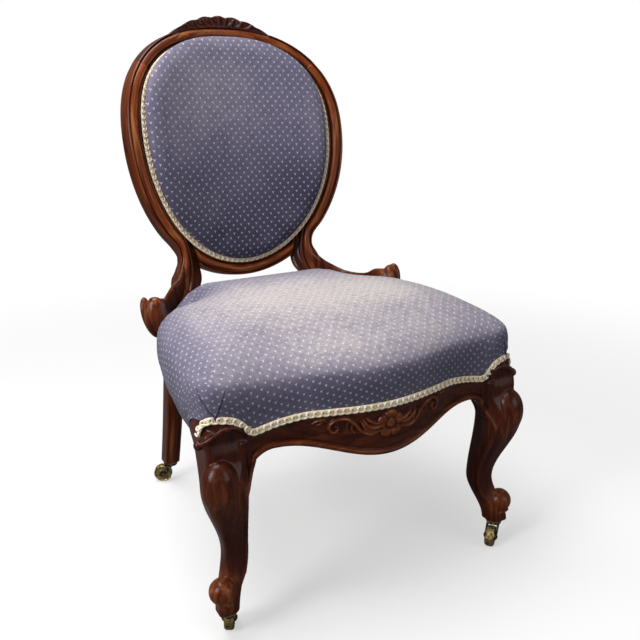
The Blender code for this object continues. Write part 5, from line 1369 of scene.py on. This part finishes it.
# From the rebate out over the pad's rolled edge: offset from the oval, depth from the frame's face, and share
# of the overhang
PAD_ROLL = [(0.0385, 0.0085, 0.0), (0.0368, 0.0040, 0.4), (0.0342, -0.0015, 0.8), (0.0326, -0.0075, 1.0),
            (0.0332, -0.0130, 1.0), (0.0362, -0.0178, 0.8), (0.0415, -0.0218, 0.5), (0.0490, -0.0248, 0.25)]
PAD_DOME = 0.012
PAD_BASE_DEPTH = 0.018
PAD_MIDDLE = np.array([0.0, 0.680])
OUTSIDE_DEPTH = 0.0255
OUTSIDE_THICKNESS = 0.0014
PAD_AROUND = 176
pad_angles = np.linspace(0, 2 * pi, PAD_AROUND, endpoint=False)
pad_scales = [0.95, 0.90, 0.84, 0.77, 0.70, 0.62, 0.54, 0.45, 0.36, 0.26, 0.16, 0.07]


def back_ring(offset, depth, scale=1.0, roll=0.0):
    ring = []
    for angle in pad_angles:
        over = roll * (0.002 + 0.010 * max(0.0, cos(angle)))
        spot = PAD_MIDDLE + (oval(angle, offset - over) - PAD_MIDDLE) * scale
        ring.append(on_back(spot) + back_direction(spot[0]) * depth)
    return np.array(ring)


def back_weave(face):
    return [(back_flat[i, 0], back_flat[i, 2] / cos(atan2(BACK_RAKE, 1))) for i in face.vertices]


pad_edge = FRAME_WIDTH + 0.0003
hessian_rings = [back_ring(pad_edge, PAD_BASE_DEPTH + 0.0012, s) for s in (0.1, 0.6, 1.0)]
hessian_rings += [back_ring(pad_edge, PAD_BASE_DEPTH + 0.0026, s) for s in (1.0, 0.6, 0.1)]
back_hessian = piece("back_hessian_cloth", *skin(hessian_rings), HESSIAN)
fit(back_hessian, "frame", "jute", "back_hessian")

pad_rings = [back_ring(pad_edge, PAD_BASE_DEPTH, s) for s in (0.1, 0.5, 0.9)]
inner_edge_depths = (PAD_BASE_DEPTH, 0.5 * (PAD_BASE_DEPTH + PAD_ROLL[0][1]))
pad_rings += [back_ring(pad_edge, depth) for depth in inner_edge_depths]
held_rows = len(pad_rings) + 1
pad_rings += [back_ring(offset, depth, 1.0, roll) for offset, depth, roll in PAD_ROLL]
roll_offset, roll_depth, roll_share = PAD_ROLL[-1]
for scale in pad_scales:
    depth = roll_depth - PAD_DOME * (1 - scale ** 2)
    pad_rings.append(back_ring(roll_offset, depth, scale, roll_share * scale))
pad_rings = np.array(pad_rings)
row = np.arange(len(pad_rings))[:, None]
cap = 0.003 * np.clip((row - held_rows + 1) / 5, 0, 1) * np.ones(PAD_AROUND)
back_pad = piece("back_cushion", *skin(finer(drawn_tight(pad_rings, held_rows, 4.0, cap))), CLOTH)
back_flat = finer(pad_rings).reshape(-1, 3)
lay_weave(back_pad, back_weave)
x, y, z = read_points(back_pad.data).T
# Faded most at the top and less on the right: partly real fading, and partly painted shade that draws the lower
# part darker, where less light falls.
fade_and_shade = 0.04 + 0.38 * ease((z - 0.50) / 0.26) * (1 - 0.35 * ease((x + 0.02) / 0.16))
keep_values(back_pad.data, "fade_and_shade", fade_and_shade)
back_pad.data.shade_smooth()
fit(back_pad, "frame", "dotted_fabric", "back_cover", "back_stuffing")

outside_rings = [back_ring(pad_edge, OUTSIDE_DEPTH, s) for s in (0.06, 0.35, 0.7, 1.0)]
outside_face = OUTSIDE_DEPTH + OUTSIDE_THICKNESS
outside_rings += [back_ring(pad_edge, outside_face, s) for s in (1.0, 0.985, 0.7, 0.35, 0.06)]
points, faces = skin(outside_rings)
outside = piece("back_outside_cloth", points, faces, CLOTH, {"fade_and_shade": np.full(len(points), 0.10)})
back_flat = points
lay_weave(outside, back_weave)
fit(outside, "frame", "dotted_fabric", "back_outside_cover")

gimp_angles = np.linspace(0, 2 * pi, 360, endpoint=False)
back_gimps = [
    ("back_gimp_braid", "back_gimp", -0.0098, 0.0012, -1),
    ("outside_back_gimp_braid", "outside_back_gimp", 0.0052, outside_face, 1),
]
for name, node, offset, depth, sign in back_gimps:
    line, out = [], []
    for angle in gimp_angles:
        spot = oval(angle, pad_edge + offset)
        line.append(on_back(spot) + back_direction(spot[0]) * depth)
        out.append(back_direction(spot[0]) * sign)
    gimp = braid(name, line, np.array(out), True)
    fit(gimp, "frame", "gimp_braid", node)


# Castors: turned brass wheels on iron axles in small forged forks. Each fork turns on a stem in the brass plate
# that is screwed under its leg.

def old_brass(name, tone, rough):
    """Brass that was never lacquered: dull yellow-brown, brighter where it rubs and dark where dirt stays."""
    made, tree, shader = start_material(name)
    place = add(tree, "TexCoord", give="Object")
    tarnish_size = 0.00625
    tarnish = add(tree, "TexNoise", {"Vector": place, "Scale": 1 / tarnish_size, "Detail": 5.0}, give="Fac")
    tint = add(tree, "ValToRGB", {"Fac": tarnish}, [(0.30, "#4a3d28"), (0.50, tone), (0.75, "#d6c698")])
    dull = add(tree, "MapRange", [tarnish, 0.3, 0.7, rough + 0.15, rough])
    connect(tree, shader, {"Base Color": tint, "Roughness": dull, "Metallic": 1.0})
    return made


BRASS = old_brass("old_brass", "#a8935f", 0.40)
IRON = old_brass("brown_iron", "#3a3029", 0.5)
for name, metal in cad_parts.items():
    if name.startswith(("castor_plate", "castor_wheel")):
        metal.material_slots[0].material = BRASS
    if name.startswith(("castor_fork", "castor_axle")):
        metal.material_slots[0].material = IRON


# Studio: a plain pale floor and background, soft lights from above and from the left, a weak fill in front,
# and the camera where the photograph was taken from.

FLOOR_SIZE = 40.0
FLOOR_NEAR, FLOOR_FAR = 0.75, 1.9
# The paper throws little light up under the chair, and runs into the white background without an edge
floor_paint, tree, shader = start_material("pale_floor")
seen = add(tree, "LightPath", give="Is Camera Ray")
paper = add(tree, "Mix", {"Factor": seen, "A": colour("#6e6e6e"), "B": colour("#fafafa")}, data_type="RGBA")
connect(tree, shader, {"Base Color": paper, "Roughness": 0.9})
place = add(tree, "TexCoord", give="Object")
far = add(tree, "MapRange", {
    "Value": add(tree, "VectorMath", [place], operation="LENGTH"),
    "From Min": FLOOR_NEAR, "From Max": FLOOR_FAR, "To Min": 0.5,
}, interpolation_type="SMOOTHSTEP")
white = add(tree, "Emission", {"Color": (1, 1, 1, 1), "Strength": 1.0})
faded_out = add(tree, "Math", [far, seen], operation="MULTIPLY")
mixed = add(tree, "MixShader", [faded_out, shader.outputs["BSDF"], white])
connect(tree, tree.nodes["Material Output"], {"Surface": mixed})
floor_mesh = bpy.data.meshes.new("floor")
half = 0.5 * FLOOR_SIZE
floor_corners = [(-half, -half, 0), (half, -half, 0), (half, half, 0), (-half, half, 0)]
floor_mesh.from_pydata(floor_corners, [], [(0, 1, 2, 3)])
floor_mesh.materials.append(floor_paint)
floor = show("floor", floor_mesh)

WORLD_LIGHT = 0.21
world = bpy.data.worlds.new("studio")
bpy.context.scene.world = world
world.use_nodes = True
tree = world.node_tree
rays = add(tree, "LightPath").node.outputs
seen = add(tree, "Math", [rays["Is Camera Ray"], rays["Is Transmission Ray"]], operation="MAXIMUM")
strength = add(tree, "MapRange", {"Value": seen, "To Min": WORLD_LIGHT, "To Max": 1.0})
connect(tree, tree.nodes["Background"], {"Color": (1, 1, 1, 1), "Strength": strength})


def lamp(name, place, aim, size, watts):
    light = bpy.data.lights.new(name, "AREA")
    light.shape = "RECTANGLE"
    light.size, light.size_y = size
    light.energy = watts
    made = show(name, light)
    made.location = place
    made.rotation_euler = (Vector(aim) - Vector(place)).to_track_quat("-Z", "Y").to_euler()


lamp("overhead_softbox", (-0.5, 0.3, 2.6), (0, 0, 0.4), (1.8, 1.4), 54)
lamp("left_softbox", (-2.2, -0.6, 1.5), (0, 0, 0.5), (0.8, 1.4), 36)
lamp("front_fill", (1.2, -2.4, 1.2), (0, 0, 0.4), (1.4, 1.4), 10)

CAMERA_TARGET = Vector((0.034, DATUM_Y, 0.386))
CAMERA_AZIMUTH = radians(-28.64)
CAMERA_ELEVATION = radians(17.46)
CAMERA_ROLL = radians(-0.26)
CAMERA_DISTANCE = 1.366
level = cos(CAMERA_ELEVATION)
toward = Vector((sin(CAMERA_AZIMUTH) * level, -cos(CAMERA_AZIMUTH) * level, sin(CAMERA_ELEVATION)))
eye = CAMERA_TARGET + toward * CAMERA_DISTANCE
camera_data = bpy.data.cameras.new("camera")
camera_data.sensor_width = 36.0
camera_data.lens = 42.82
camera = show("camera", camera_data)
aim = (CAMERA_TARGET - eye).to_track_quat("-Z", "Y").to_matrix().to_4x4()
camera.matrix_world = Matrix.Translation(eye) @ aim @ Matrix.Rotation(CAMERA_ROLL, 4, "Z")
bpy.context.scene.camera = camera
bpy.context.scene.view_settings.view_transform = "Standard"
